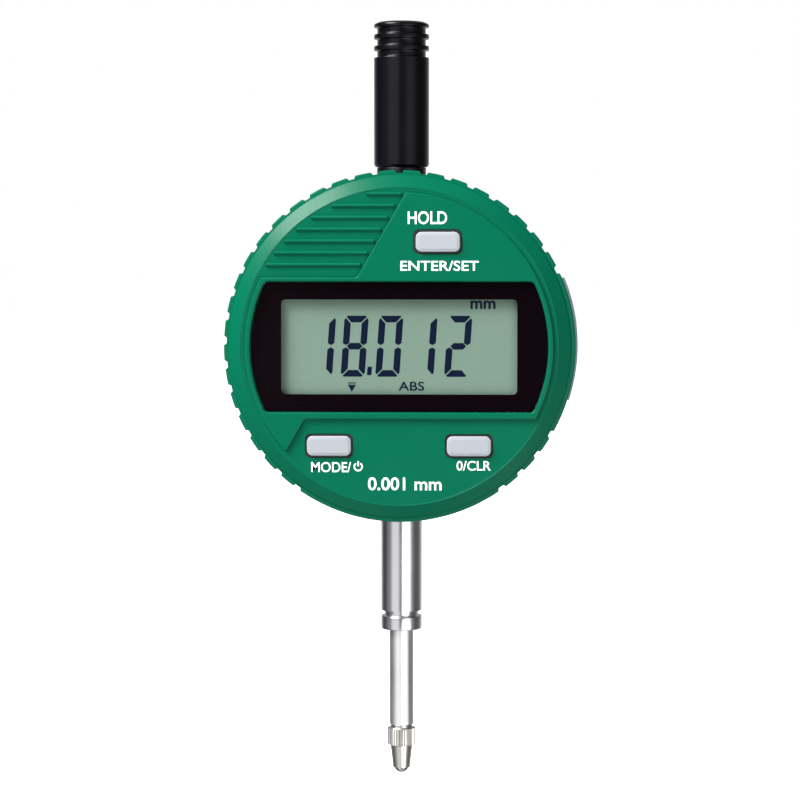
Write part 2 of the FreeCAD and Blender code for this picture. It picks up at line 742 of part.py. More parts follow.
def spindle_parts():
    """The measuring spindle with its contact point."""
    turned_up("spindle", [
        ("0", "-spindle_low + thread_length"), ("thread_radius", "-spindle_low + thread_length"),
        ("thread_radius", "-spindle_low"), ("spindle_radius - spindle_chamfer", "-spindle_low"),
        ("spindle_radius", "-spindle_low + spindle_chamfer"),
        ("spindle_radius", "spindle_top - spindle_chamfer"),
        ("spindle_radius - spindle_chamfer", "spindle_top"), ("0", "spindle_top")])
    blank = turned_up("contact_blank", [
        ("0", "-spindle_low + thread_length - 0.5"),
        ("thread_radius - seat_gap", "-spindle_low + thread_length - 0.5"),
        ("thread_radius - seat_gap", "-spindle_low"), ("contact_neck", "-spindle_low"),
        ("contact_neck", "-knurl_top"), ("knurl_radius - 0.25", "-knurl_top"),
        ("knurl_radius", "-knurl_top - 0.25"), ("knurl_radius", "-knurl_low + 0.25"),
        ("knurl_radius - 0.25", "-knurl_low"), ("cone_top_radius", "-knurl_low"),
        ("cone_low_radius", "-cone_low"), ("0", "-cone_low")])
    blank.Placement.Base.z = 0
    blank.setExpression("Placement.Base.z", None)
    PARTS.remove(blank)
    seat = doc.addObject("Part::Sphere", "ball_seat")
    seat.setExpression("Radius", bind("ball_radius + seat_gap"))
    seat.setExpression("Placement.Base.z", bind("-tip_low + ball_radius"))
    holder = doc.addObject("Part::Cut", "contact_point")
    holder.Base = blank
    holder.Tool = seat
    keep(holder, "contact_point")
    ball = doc.addObject("Part::Sphere", "contact_ball")
    ball.setExpression("Radius", bind("ball_radius"))
    keep(ball, "contact_ball")
    ball.setExpression("Placement.Base.z", bind("dial_height - tip_low + ball_radius"))


def carrier_parts():
    """The block clamped on the spindle, its clamp screw, anti-rotation pin and encoder scale."""
    carrier = new_body("spindle_carrier")
    plan = box("-carrier_left", "carrier_right", "-carrier_front", "carrier_back")
    add(carrier, "XY_Plane", [plan, ("0", "0", "spindle_radius + seat_gap")],
        "-carrier_low", "-carrier_top")
    cut(carrier, "YZ_Plane", [("0", "-pin_height", "pin_radius + seat_gap")],
        "spindle_radius", "carrier_right + 1")
    clamp = [("clamp_across", "-clamp_down")]
    cut(carrier, "XZ_Plane", circles(clamp, "small_thread"), "-carrier_back - 1", "carrier_front - 1")
    cut(carrier, "XZ_Plane", circles(clamp, "small_head + slip_gap"), "-carrier_back - 1",
        "-carrier_back + head_depth + slip_gap")
    screws("carrier_clamp_screw", clamp, "small_thread", "small_head", "carrier_front - 1.5",
           "-carrier_back + head_depth", "-carrier_back + seat_gap")
    pin = new_body("anti_rotation_pin")
    add(pin, "YZ_Plane", [("0", "-pin_height", "pin_radius")], "spindle_radius + 0.2", "pin_end")
    scale = new_body("encoder_scale")
    outline = box("-scale_half_width", "scale_half_width", "-scale_low", "scale_top")
    add(scale, "XZ_Plane", [outline], "-scale_back", "-scale_front")


def guide_parts():
    """What guides, stops and returns the spindle inside the housing."""
    rail = new_body("guide_rail")
    plan = [("rail_left", "-housing_floor"), ("rail_right", "-housing_floor"),
            ("rail_right", "rail_rear"), ("rail_left", "rail_rear"),
            ("rail_left", "pin_radius + slip_gap"), ("rail_slot_end", "pin_radius + slip_gap"),
            ("rail_slot_end", "-pin_radius - slip_gap"), ("rail_left", "-pin_radius - slip_gap")]
    add(rail, "XY_Plane", [plan], "-rail_low", "rail_top")
    cut(rail, "XZ_Plane", circles(RAIL_SCREWS, "small_thread"), "-rail_rear - 1", "housing_floor + 1")
    cut(rail, "XZ_Plane", circles(RAIL_SCREWS, "small_head - 0.1"), "-rail_rear - 1",
        "-rail_rear + head_depth + slip_gap")
    screws("guide_rail_screws", RAIL_SCREWS, "small_thread", "small_head - 0.15",
           "housing_floor + 0.8", "-rail_rear + head_depth", "-rail_rear + seat_gap")
    turned_up("stop_bumper", [
        ("bumper_inner", "-boss_inner"), ("bumper_radius", "-boss_inner"),
        ("bumper_radius", "-bumper_top"), ("bumper_inner", "-bumper_top")])
    stop = "travel - carrier_top + 0.1"
    turned_up("spring_guide_sleeve", [
        ("sleeve_inner", stop), ("sleeve_outer", stop), ("sleeve_outer", "boss_inner - 1"),
        ("sleeve_flange", "boss_inner - 1"), ("sleeve_flange", "boss_inner"),
        ("sleeve_inner", "boss_inner")])


def return_spring():
    """The compression spring between the carrier and the sleeve's flange."""
    wire = value("spring_wire")
    radius = value("spring_radius")
    low = value("-carrier_top") + wire + 0.05
    high = value("boss_inner") - 1 - wire - 0.05
    path = Part.makeHelix((high - low) / value("spring_turns"), high - low, radius)
    section = Part.Wire(Part.makeCircle(wire, Vector(radius, 0, 0), Vector(0, 1, 0)))
    coil = Part.Wire(path.Edges).makePipeShell([section], True, True)
    spring = doc.addObject("Part::Feature", "return_spring")
    spring.Shape = coil
    spring.Label = "return_spring"
    spring.Placement = FreeCAD.Placement(Vector(0, 0, low + value("dial_height")), FreeCAD.Rotation())
    PARTS.append(spring)


def sensor_parts():
    """The encoder's reading head and the board it sits on."""
    board = new_body("sensor_board")
    outline = box("-carrier_left", "sensor_right", "-sensor_up", "sensor_up")
    add(board, "XZ_Plane", [outline] + circles(POSTS, "small_thread"), "-sensor_back", "-sensor_front")
    head = new_body("encoder_readhead")
    outline = box("-scale_half_width - 0.5", "scale_half_width + 0.5", "-reader_low", "reader_top")
    add(head, "XZ_Plane", [outline], "-sensor_front", "-reader_front")
    screws("sensor_board_screws", POSTS, "small_thread", "small_head", "-sensor_front + 3.5",
           "-sensor_back", "-sensor_back - head_depth")


def about_cell(label, points):
    """Make a sub-part turned about the coin cell's axis from (radius, rearward) points."""
    piece = turned_dial(label, [(radius, f"-({rear})") for radius, rear in points])
    piece.setExpression("Placement.Base.x", bind("-cell_across"))
    piece.setExpression("Placement.Base.z", bind("dial_height + cell_up"))
    return piece


def battery_parts():
    """The coin cell, its holder and contacts, and the coin-slotted cover with its ring."""
    about_cell("battery_holder", [
        ("0", "holder_floor_front"), ("holder_inner", "holder_floor_front"),
        ("holder_inner", "-housing_floor"), ("holder_outer", "-housing_floor"),
        ("holder_outer", "holder_rear"), ("holder_inner", "holder_rear"),
        ("holder_inner", "holder_floor_rear"), ("0", "holder_floor_rear")])
    about_cell("battery", [
        ("0", "cell_front"), ("cell_cap_radius", "cell_front"), ("cell_cap_radius", "cell_step"),
        ("cell_radius", "cell_step"), ("cell_radius", "cell_rear"), ("0", "cell_rear")])
    about_cell("battery_contact_negative", [
        ("leaf_outer", "holder_floor_rear"), ("leaf_outer", "holder_floor_rear + leaf_thickness"),
        ("leaf_inner", "cell_front"), ("leaf_inner", "cell_front - leaf_thickness")])
    about_cell("battery_contact_positive", [
        ("leaf_outer", "cell_rear"), ("cell_radius", "cell_rear"),
        ("cell_radius", "cell_rear + leaf_thickness"), ("leaf_outer", "cell_rear + leaf_thickness")])
    cover = about_cell("battery_cover", [
        ("0", "plug_front"), ("plug_radius", "plug_front"), ("plug_radius", "plug_groove_front"),
        ("plug_groove_radius", "plug_groove_front"), ("plug_groove_radius", "plug_groove_rear"),
        ("plug_radius", "plug_groove_rear"), ("plug_radius", "flange_front"),
        ("flange_radius", "flange_front"), ("flange_radius", "cover_rear - 0.3"),
        ("flange_radius - 0.3", "cover_rear"), ("0", "cover_rear")])
    slot = box_about("0", "0", "slot_length", "slot_width")
    cut(cover, "XZ_Plane", [slot], "-cover_rear - 1", "-cover_rear + slot_depth")
    about_cell("battery_cover_oring", [
        ("plug_groove_radius + seat_gap", "plug_groove_front + seat_gap"),
        ("plug_radius + seat_gap", "plug_groove_front + seat_gap"),
        ("plug_radius + seat_gap", "plug_groove_rear - seat_gap"),
        ("plug_groove_radius + seat_gap", "plug_groove_rear - seat_gap")])


def port_parts():
    """The data connector in the housing's side, and the curved cover that pulls off it."""
    plug = new_body("data_connector")
    add(plug, "YZ_Plane", [box_about("0", "0", "port_width", "port_height")], "port_start", "port_end")
    pins = new_body("connector_contacts")
    places = [("0", f"{step} * contact_pitch") for step in (-1.5, -0.5, 0.5, 1.5)]
    add(pins, "YZ_Plane", circles(places, "contact_pin"), "port_end", "contact_pin_end")

    cover = new_body("side_cover")
    reach = "side_outer * 1.2"
    wedge = [("0", "0"), (f"{reach} * cos(side_lower_angle)", f"-{reach} * sin(side_lower_angle)"),
             (f"{reach} * 1.1", "0"),
             (f"{reach} * cos(side_upper_angle)", f"{reach} * sin(side_upper_angle)")]
    add(cover, "XZ_Plane", [wedge], "-side_rear", "side_front")
    turn(cover, "XY_Plane", [
        ("side_outer", "-side_front - 1"), ("side_outer * 2", "-side_front - 1"),
        ("side_outer * 2", "side_rear + 1"), ("side_outer", "side_rear + 1")], "PartDesign::Groove")
    cut(cover, "XZ_Plane", [("0", "0", "side_inner")], "-side_rear - 1", "side_front + 1")


def back_parts():
    """The back cover with its lug, the gasket under it and its four screws."""
    cover = turned_dial("back_cover", [
        ("0", "-housing_rear"), ("gasket_inner", "-housing_rear"),
        ("gasket_inner", "-housing_rear - gasket_depth"), ("gasket_outer", "-housing_rear - gasket_depth"),
        ("gasket_outer", "-housing_rear"), ("housing_radius", "-housing_rear"),
        ("housing_radius", "-cover_rear + cover_chamfer"),
        ("housing_radius - cover_chamfer", "-cover_rear"), ("0", "-cover_rear")])
    stalk = box("cover_rear - 0.5", "lug_centre", "-lug_radius", "lug_radius")
    add(cover, "YZ_Plane", [stalk], "-lug_half_width", "lug_half_width")
    add(cover, "YZ_Plane", [("lug_centre", "0", "lug_radius")], "-lug_half_width", "lug_half_width")
    cut(cover, "YZ_Plane", [("lug_centre", "0", "lug_hole")], "-lug_half_width - 1", "lug_half_width + 1")
    hole = ("-cell_across", "cell_up", "plug_radius + 2 * slip_gap")
    cut(cover, "XZ_Plane", [hole], "-cover_rear - 1", "-housing_rear + 1")
    seat = ("-cell_across", "cell_up", "flange_radius + 2 * slip_gap")
    cut(cover, "XZ_Plane", [seat], "-cover_rear - 1", "-flange_front + 0.1")
    cut(cover, "XZ_Plane", circles(COVER_SCREWS, "cover_thread"), "-cover_rear - 1", "-housing_rear + 1")
    cut(cover, "XZ_Plane", circles(COVER_SCREWS, "cover_head + slip_gap"), "-cover_rear - 1",
        "-cover_head_front")
    screws("back_cover_screws", COVER_SCREWS, "cover_thread", "cover_head", "-housing_rear + 6",
           "-cover_head_front - seat_gap", "-cover_rear + 0.15")
    turned_dial("back_gasket", [
        ("gasket_inner + seat_gap", "-housing_rear"), ("gasket_outer - seat_gap", "-housing_rear"),
        ("gasket_outer - seat_gap", "-housing_rear - gasket_depth + seat_gap"),
        ("gasket_inner + seat_gap", "-housing_rear - gasket_depth + seat_gap")])


def build():
    """Build every sub-part in turn."""
    front_bezel()
    display_window()
    window_adhesive()
    display_parts()
    keys()
    dial_back_plate()
    screws("dial_plate_screws", PILLARS, "small_thread", "small_head", "wall_inner - 1.5",
           "rim_back + head_depth", "rim_back + slip_gap")
    hub_parts()
    rear_housing()
    stem_parts()
    dust_cap()
    spindle_parts()
    carrier_parts()
    guide_parts()
    return_spring()
    sensor_parts()
    battery_parts()
    port_parts()
    back_parts()
    doc.recompute()


def export():
    """Check every object and every sub-part's shape, then write the sub-parts."""
    faults = [item.Label for item in doc.Objects if {"Invalid", "Error"} & set(item.State)]
    faults += [piece.Label for piece in PARTS if piece.Shape.isNull() or not piece.Shape.isValid()]
    if faults:
        raise RuntimeError(f"failed objects: {faults}")
    os.makedirs("parts", exist_ok=True)
    for piece in PARTS:
        piece.Shape.exportStep(f"parts/{piece.Label}.step")
        print(f"{piece.Label}: {len(piece.Shape.Solids)} solid(s), {piece.Shape.Volume:.1f} mm3")


build()
export()
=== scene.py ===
"""Looks of an electronic dial indicator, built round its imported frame.

Lengths in the classes are millimetres. Heights are measured up from the dial's centre, and
"forward" means in front of the stem axis, towards the reader (row -Y).
"""

import json
import logging
import math
from dataclasses import dataclass, field
from enum import Enum
from typing import Callable, Iterable, Optional, Union

import bmesh
import bpy
from mathutils import Matrix, Vector


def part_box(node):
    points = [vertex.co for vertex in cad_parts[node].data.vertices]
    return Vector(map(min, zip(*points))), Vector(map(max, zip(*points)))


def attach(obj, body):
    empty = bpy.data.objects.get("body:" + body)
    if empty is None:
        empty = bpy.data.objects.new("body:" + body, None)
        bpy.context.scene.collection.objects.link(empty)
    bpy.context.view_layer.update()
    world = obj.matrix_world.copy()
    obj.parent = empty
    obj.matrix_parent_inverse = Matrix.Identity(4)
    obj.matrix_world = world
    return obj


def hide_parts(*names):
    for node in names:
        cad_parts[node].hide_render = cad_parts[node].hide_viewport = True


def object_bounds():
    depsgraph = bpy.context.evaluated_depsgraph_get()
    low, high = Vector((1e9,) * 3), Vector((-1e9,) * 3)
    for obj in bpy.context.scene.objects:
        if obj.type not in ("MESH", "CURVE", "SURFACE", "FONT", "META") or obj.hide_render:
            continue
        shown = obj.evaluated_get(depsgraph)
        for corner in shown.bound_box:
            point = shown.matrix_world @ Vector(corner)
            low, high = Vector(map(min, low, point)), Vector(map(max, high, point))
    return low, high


LOG = logging.getLogger("indicator")
MM = 0.001

Point = tuple[float, float]
Corner = tuple[float, float, float]
Term = Union[float, bpy.types.NodeSocket]

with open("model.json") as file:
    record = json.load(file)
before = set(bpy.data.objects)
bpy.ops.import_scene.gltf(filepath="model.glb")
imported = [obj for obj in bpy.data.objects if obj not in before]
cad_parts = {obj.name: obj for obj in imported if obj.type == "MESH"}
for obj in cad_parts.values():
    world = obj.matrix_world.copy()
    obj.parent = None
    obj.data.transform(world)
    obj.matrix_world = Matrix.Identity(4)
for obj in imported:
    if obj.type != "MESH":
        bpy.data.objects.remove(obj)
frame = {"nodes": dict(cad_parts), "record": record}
CAD_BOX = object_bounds()
BEZEL_LOW, BEZEL_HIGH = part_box("front_bezel")
DIAL_CENTRE = Vector((0.0, 0.0, (BEZEL_LOW.z + BEZEL_HIGH.z) / 2))
# Turns a flat drawing (across, up, forward) to face the reader in the row frame.
FACING = Matrix(((1, 0, 0), (0, 0, -1), (0, 1, 0))).to_4x4()


class Axis(Enum):
    """The axis that a turned piece is spun about."""

    STEM = "stem"
    DIAL = "dial"


class Body(str, Enum):
    """The moving bodies that pieces ride on."""

    HOUSING = "housing"
    DIAL = "dial"
    SPINDLE = "spindle"
    DUST_CAP = "dust_cap"
    START_KEY = "start_key"
    MODE_KEY = "mode_key"
    ZERO_KEY = "zero_key"


# ---------------------------------------------------------------- colours and node trees


def linear(hex_colour: str) -> tuple[float, float, float, float]:
    """Turn an sRGB hex colour into linear values.

    Args:
        hex_colour: six hex digits after a hash sign.

    Returns:
        Red, green, blue and an alpha of one.
    """
    parts = [int(hex_colour[place:place + 2], 16) / 255 for place in (1, 3, 5)]
    red, green, blue = [
        part / 12.92 if part <= 0.04045 else ((part + 0.055) / 1.055) ** 2.4 for part in parts
    ]
    return red, green, blue, 1.0


def add_node(tree: bpy.types.NodeTree, kind: str, links: Optional[dict] = None,
             **settings: object) -> bpy.types.Node:
    """Add one node with its settings and its incoming links.

    Args:
        tree: the node tree to add to.
        kind: the node's type name.
        links: input name or index to the output socket that feeds it.
        settings: node properties, or input values by name with spaces written as underscores.

    Returns:
        The new node.
    """
    node = tree.nodes.new(kind)
    for name, setting in settings.items():
        if hasattr(node, name):
            setattr(node, name, setting)
        else:
            node.inputs[name.replace("_", " ")].default_value = setting
    for name, output in (links or {}).items():
        tree.links.new(output, node.inputs[name])
    return node


@dataclass(frozen=True)
class Finish:
    """A surface finish: a name, a colour and how it catches the light.

    The grain is a fine relief whose size is the real one in millimetres. The mottle is a slow
    drift of tone and gloss over the surface.
    """

    name: str
    colour: str
    roughness: float
    metallic: float = 0.0
    grain_mm: float = 0.25
    grain_height_mm: float = 0.004
    mottle_mm: float = 9.0
    mottle: float = 0.05
    gloss_drift: float = 0.06
    specular: float = 0.5
    coat: float = 0.0
    ior: float = 1.5

    def stretch(self) -> tuple[float, float, float]:
        """Give how the grain is stretched along X, Y and Z.

        Returns:
            The three scales; a plain finish stretches nothing.
        """
        return 1.0, 1.0, 1.0

    def material(self) -> bpy.types.Material:
        """Build this finish's material, or give the one already built.

        Returns:
            The material.
        """
        found = bpy.data.materials.get(self.name)
        if found:
            return found
        material = bpy.data.materials.new(self.name)
        material.use_nodes = True
        material.use_transparent_shadow = True
        tree = material.node_tree
        tree.nodes.clear()
        output = add_node(tree, "ShaderNodeOutputMaterial")
        shader = self.shade(tree)
        tree.links.new(shader, output.inputs["Surface"])
        return material

    def shade(self, tree: bpy.types.NodeTree) -> bpy.types.NodeSocket:
        """Lay the shader nodes.

        Args:
            tree: the material's tree.

        Returns:
            The shader's output socket.
        """
        place = add_node(tree, "ShaderNodeTexCoord").outputs["Object"]
        grain_place = add_node(tree, "ShaderNodeMapping", {"Vector": place}, Scale=self.stretch())
        grain = add_node(tree, "ShaderNodeTexNoise", {"Vector": grain_place.outputs["Vector"]},
                         Scale=1 / (self.grain_mm * MM), Detail=2.0, Roughness=0.55)
        drift = add_node(tree, "ShaderNodeTexNoise", {"Vector": place},
                         Scale=1 / (self.mottle_mm * MM), Detail=3.0, Roughness=0.5)
        base = linear(self.colour)
        dark = [part * (1 - self.mottle) for part in base[:3]] + [1.0]
        light = [min(1.0, part * (1 + self.mottle)) for part in base[:3]] + [1.0]
        tone = add_node(tree, "ShaderNodeMix", {"Factor": drift.outputs["Fac"]}, data_type="RGBA")
        tone.inputs[6].default_value = dark
        tone.inputs[7].default_value = light
        gloss = add_node(tree, "ShaderNodeMapRange", {"Value": drift.outputs["Fac"]}, From_Min=0.3,
                         From_Max=0.7, To_Min=self.roughness - self.gloss_drift / 2,
                         To_Max=self.roughness + self.gloss_drift / 2)
        relief = add_node(tree, "ShaderNodeBump", {"Height": grain.outputs["Fac"]}, Strength=1.0,
                          Distance=self.grain_height_mm * MM)
        links = {"Base Color": tone.outputs[2], "Roughness": gloss.outputs["Result"],
                 "Normal": relief.outputs["Normal"]}
        shader = add_node(tree, "ShaderNodeBsdfPrincipled", links, Metallic=self.metallic)
        shader.inputs["Specular IOR Level"].default_value = self.specular
        shader.inputs["Coat Weight"].default_value = self.coat
        if not self.metallic:
            shader.inputs["IOR"].default_value = self.ior
        return shader.outputs["BSDF"]


@dataclass(frozen=True)
class TurnedMetal(Finish):
    """A metal turned or ground about the stem axis: its fine lines run round the piece."""

    metallic: float = 1.0
    line_mm: float = 0.12
    line_length_mm: float = 12.0

    def stretch(self) -> tuple[float, float, float]:
        """Squeeze the grain along Z, so that it becomes rings round the stem axis.

        Returns:
            The three scales.
        """
        along = self.grain_mm / self.line_length_mm
        return along, along, self.grain_mm / self.line_mm


@dataclass(frozen=True)
class Glowing(Finish):
    """A pale sheet that gives off some light of its own."""

    glow: float = 1.1

    def shade(self, tree: bpy.types.NodeTree) -> bpy.types.NodeSocket:
        """Add the glow to the plain shader.

        Args:
            tree: the material's tree.

        Returns:
            The shader's output socket.
        """
        shader = super().shade(tree)
        shader.node.inputs["Emission Color"].default_value = (1, 1, 1, 1)
        shader.node.inputs["Emission Strength"].default_value = self.glow
        return shader


@dataclass(frozen=True)
class ClearPane(Finish):
    """A clear pane: what lies behind it shows through, and its outer face mirrors a little."""

    def shade(self, tree: bpy.types.NodeTree) -> bpy.types.NodeSocket:
        """Lay a clear shader under a faintly wavy gloss.

        Args:
            tree: the material's tree.

        Returns:
            The shader's output socket.
        """
        place = add_node(tree, "ShaderNodeTexCoord").outputs["Object"]
        wave = add_node(tree, "ShaderNodeTexNoise", {"Vector": place}, Scale=1 / (self.grain_mm * MM))
        relief = add_node(tree, "ShaderNodeBump", {"Height": wave.outputs["Fac"]}, Strength=1.0,
                          Distance=self.grain_height_mm * MM)
        turn = add_node(tree, "ShaderNodeFresnel", {"Normal": relief.outputs["Normal"]}, IOR=self.ior)
        clear = add_node(tree, "ShaderNodeBsdfTransparent", Color=linear(self.colour))
        gloss = add_node(tree, "ShaderNodeBsdfGlossy", {"Normal": relief.outputs["Normal"]},
                         Roughness=self.roughness)
        inner = add_node(tree, "ShaderNodeNewGeometry").outputs["Backfacing"]
        outer = add_node(tree, "ShaderNodeMath", {1: inner}, operation="SUBTRACT")
        outer.inputs[0].default_value = 1.0
        share = add_node(tree, "ShaderNodeMath", {0: turn.outputs["Fac"], 1: outer.outputs[0]},
                         operation="MULTIPLY")
        mixed = add_node(tree, "ShaderNodeMixShader", {0: share.outputs[0], 1: clear.outputs["BSDF"],
                                                       2: gloss.outputs["BSDF"]})
        return mixed.outputs["Shader"]


# Moulded ABS, green through and through: a fine spark-eroded tool texture breaks the highlight.
GREEN_ABS = Finish("green_abs_moulded", "#005940", 0.3, grain_mm=0.3, grain_height_mm=0.0008,
                   mottle=0.03, specular=0.1)
# Satin black ABS, smoother than the bezel, so that it shows soft upright reflections.
BLACK_ABS = Finish("black_abs_moulded", "#06050A", 0.24, grain_mm=0.3, grain_height_mm=0.0012,
                   specular=0.26)
# Grey ABS of the rear covers.
GREY_ABS = Finish("grey_abs_moulded", "#8C97A3", 0.42, grain_mm=0.3)
# Light grey silicone-coated keys, soft and slightly cloudy.
KEY_SILICONE = Finish("key_silicone_moulded", "#94989E", 0.5, grain_mm=0.18, grain_height_mm=0.002,
                      mottle=0.02)
# Black nitrile rubber of the seals, dull.
NITRILE = Finish("nitrile_rubber", "#0B0B0E", 0.7, grain_mm=0.15, grain_height_mm=0.004)
# Screen-printed white ink, slightly raised and matt.
WHITE_INK = Finish("white_ink_printed", "#F2F5F5", 0.5, grain_mm=0.08, grain_height_mm=0.001,
                   mottle=0.02)
# Black ink printed behind the lens, seen through its gloss.
BLACK_INK = Finish("black_ink_printed", "#0A0307", 0.6, grain_mm=0.5, grain_height_mm=0.0002,
                   mottle=0.1, specular=0.0)
# Hard-coated acrylic lens: its coating keeps reflections weak and a little soft.
ACRYLIC = ClearPane("acrylic_hard_coated", "#F6F8F6", 0.11, grain_mm=14.0, grain_height_mm=0.001,
                    ior=1.38)
# Liquid-crystal glass with a reflector behind it: the reflector's fine grain shows as speckle.
LCD_GLASS = Finish("lcd_reflector", "#71857A", 0.5, grain_mm=0.3, grain_height_mm=0.0005,
                   mottle_mm=0.3, mottle=0.16, specular=0.1)
# Switched-on segments: dark blue-black.
LCD_INK = Finish("lcd_segment", "#08132B", 0.6, grain_mm=0.5, grain_height_mm=0.0002, specular=0.05)
# Hardened steel, ground and polished: sharp reflections with faint grinding rings.
GROUND_STEEL = TurnedMetal("steel_ground", "#CFCFD4", 0.24, line_mm=0.16, grain_height_mm=0.0008,
                           mottle=0.03, gloss_drift=0.05)
# Satin chromed spindle, turned: wide soft highlight.
SATIN_STEEL = TurnedMetal("steel_satin_turned", "#E9E9EA", 0.4, line_mm=0.14,
                          grain_height_mm=0.0012, mottle=0.03)
# Contact point in warmer, knurled steel.
KNURLED_STEEL = TurnedMetal("steel_knurled", "#C2BFBA", 0.34, line_mm=0.15, grain_height_mm=0.002,
                            mottle=0.06)
# Lapped hard-metal ball.
LAPPED_BALL = Finish("hard_metal_lapped", "#CFCFD2", 0.1, metallic=1.0, grain_height_mm=0.0003)
# Die-cast aluminium, fine blasted and clear anodised.
CAST_ALUMINIUM = Finish("aluminium_die_cast_blasted", "#6D747C", 0.46, metallic=1.0, grain_mm=0.12,
                        grain_height_mm=0.006)
# Blackened screws.
BLACK_SCREW = Finish("steel_blackened", "#2B2C2F", 0.38, metallic=1.0, grain_mm=0.1)
# Plated steel of inner screws and springs.
ZINC_STEEL = Finish("steel_zinc_plated", "#B9BCC0", 0.32, metallic=1.0, grain_mm=0.1)
# Turned steel bush, coloured near-black as painted shade for the gap between cap and rim.
SHADE_DARKENED_STEEL = TurnedMetal("steel_turned_painted_shade", "#3A3B40", 0.3, line_mm=0.15, grain_height_mm=0.001)
# Sintered bronze and contact springs.
BRONZE = Finish("bronze_rolled", "#B08A4E", 0.36, metallic=1.0, grain_mm=0.12)
# Green solder mask on glass-epoxy board.
BOARD = Finish("board_solder_mask", "#1C5A34", 0.3, grain_mm=0.4, mottle=0.08)

# Matt white paper lit from below, as on a light table.
PAPER = Glowing("paper_white", "#FBFBFB", 0.8, grain_mm=3.0, grain_height_mm=0.01, mottle=0.005)

CAD_FINISHES = {
    "green_plastic": GREEN_ABS, "lens": ACRYLIC, "lcd": LCD_GLASS, "key_plastic": KEY_SILICONE,
    "black_rubber": NITRILE, "black_plastic": BLACK_ABS, "grey_plastic": GREY_ABS,
    "housing_metal": CAST_ALUMINIUM, "ground_steel": GROUND_STEEL, "satin_steel": SATIN_STEEL,
    "ball": LAPPED_BALL, "screw_steel": ZINC_STEEL, "bronze": BRONZE, "board": BOARD,
    "chip_plastic": BLACK_ABS,
}


# ---------------------------------------------------------------- outlines


def at(across: float, up: float, forward: float) -> Vector:
    """Give the row-frame place of a point of the dial.

    Args:
        across: millimetres to the reader's right of the stem axis.
        up: millimetres above the dial's centre.
        forward: millimetres in front of the stem axis.

    Returns:
        The place in metres.
    """
    return DIAL_CENTRE + Vector((across, -forward, up)) * MM


def arc(radius: float, start: float, end: float, steps: int, centre: Point = (0.0, 0.0)) -> list[Point]:
    """List points on an arc.

    Args:
        radius: the arc's radius.
        start: start angle in degrees, anticlockwise from the right.
        end: end angle in degrees.
        steps: number of spans.
        centre: the arc's centre.

    Returns:
        The points, both ends included.
    """
    angles = [math.radians(start + (end - start) * step / steps) for step in range(steps + 1)]
    return [(centre[0] + radius * math.cos(a), centre[1] + radius * math.sin(a)) for a in angles]


def filleted(corners: Iterable[Corner], closed: bool = True, steps: int = 5) -> list[Point]:
    """Round the corners of a path.

    Args:
        corners: (x, y, radius) of each corner; a radius of nought keeps it sharp.
        closed: whether the path comes back to its first corner.
        steps: spans in each rounded corner.

    Returns:
        The rounded path.
    """
    path = list(corners)
    rounded: list[Point] = []
    for index, (x, y, radius) in enumerate(path):
        here = Vector((x, y))
        if radius <= 0 or (not closed and index in (0, len(path) - 1)):
            rounded.append((x, y))
            continue
        before = Vector(path[index - 1][:2]) - here
        after = Vector(path[(index + 1) % len(path)][:2]) - here
        opening = before.angle(after)
        reach = min(radius / math.tan(opening / 2), before.length * 0.49, after.length * 0.49)
        size = reach * math.tan(opening / 2)
        middle = (before.normalized() + after.normalized()).normalized()
        centre = here + middle * (size / math.sin(opening / 2))
        first = here + before.normalized() * reach - centre
        last = here + after.normalized() * reach - centre
        sweep = math.atan2(first.cross(last), first.dot(last))
        for step in range(steps + 1):
            turn = sweep * step / steps
            spoke = Vector((first.x * math.cos(turn) - first.y * math.sin(turn),
                            first.x * math.sin(turn) + first.y * math.cos(turn)))
            rounded.append((centre.x + spoke.x, centre.y + spoke.y))
    return rounded


def rectangle(across: float, up: float, width: float, height: float, radius: float = 0.0) -> list[Point]:
    """Outline a rectangle with rounded corners about its centre.

    Args:
        across: the centre's place across.
        up: the centre's height.
        width: the full width.
        height: the full height.
        radius: the corner radius.

    Returns:
        The outline.
    """
    sides = [(-1, -1), (1, -1), (1, 1), (-1, 1)]
    return filleted([(across + s * width / 2, up + t * height / 2, radius) for s, t in sides])


def lens_outline(radius: float, half_height: float, corner: float) -> list[Point]:
    """Outline a pane with straight top and bottom edges and arcs of the dial at its ends.

    Args:
        radius: radius of the end arcs, about the dial's centre.
        half_height: half the distance between the straight edges.
        corner: radius of the four corners.

    Returns:
        The outline.
    """
    reach = math.degrees(math.asin((half_height - corner) / (radius - corner)))
    outline: list[Point] = []
    for side in (0, 180):
        outline += arc(radius, side - reach, side + reach, 28)
        top = arc(radius - corner, side + reach, side + reach, 1)[0]
        turn_to = 90 if side == 0 else 270
        outline += arc(corner, side + reach, turn_to, 5, top)[1:]
        low = arc(radius - corner, side + 180 - reach, side + 180 - reach, 1)[0]
        outline += arc(corner, turn_to, side + 180 - reach, 5, low)[:-1]
    return outline


# ---------------------------------------------------------------- meshes


def plain_mesh(holder: bpy.types.Object) -> bpy.types.Mesh:
    """Take the plain mesh of an object with its modifiers run.

    Args:
        holder: the object.

    Returns:
        A new mesh.
    """
    bpy.context.view_layer.update()
    seen = holder.evaluated_get(bpy.context.evaluated_depsgraph_get())
    return bpy.data.meshes.new_from_object(seen)


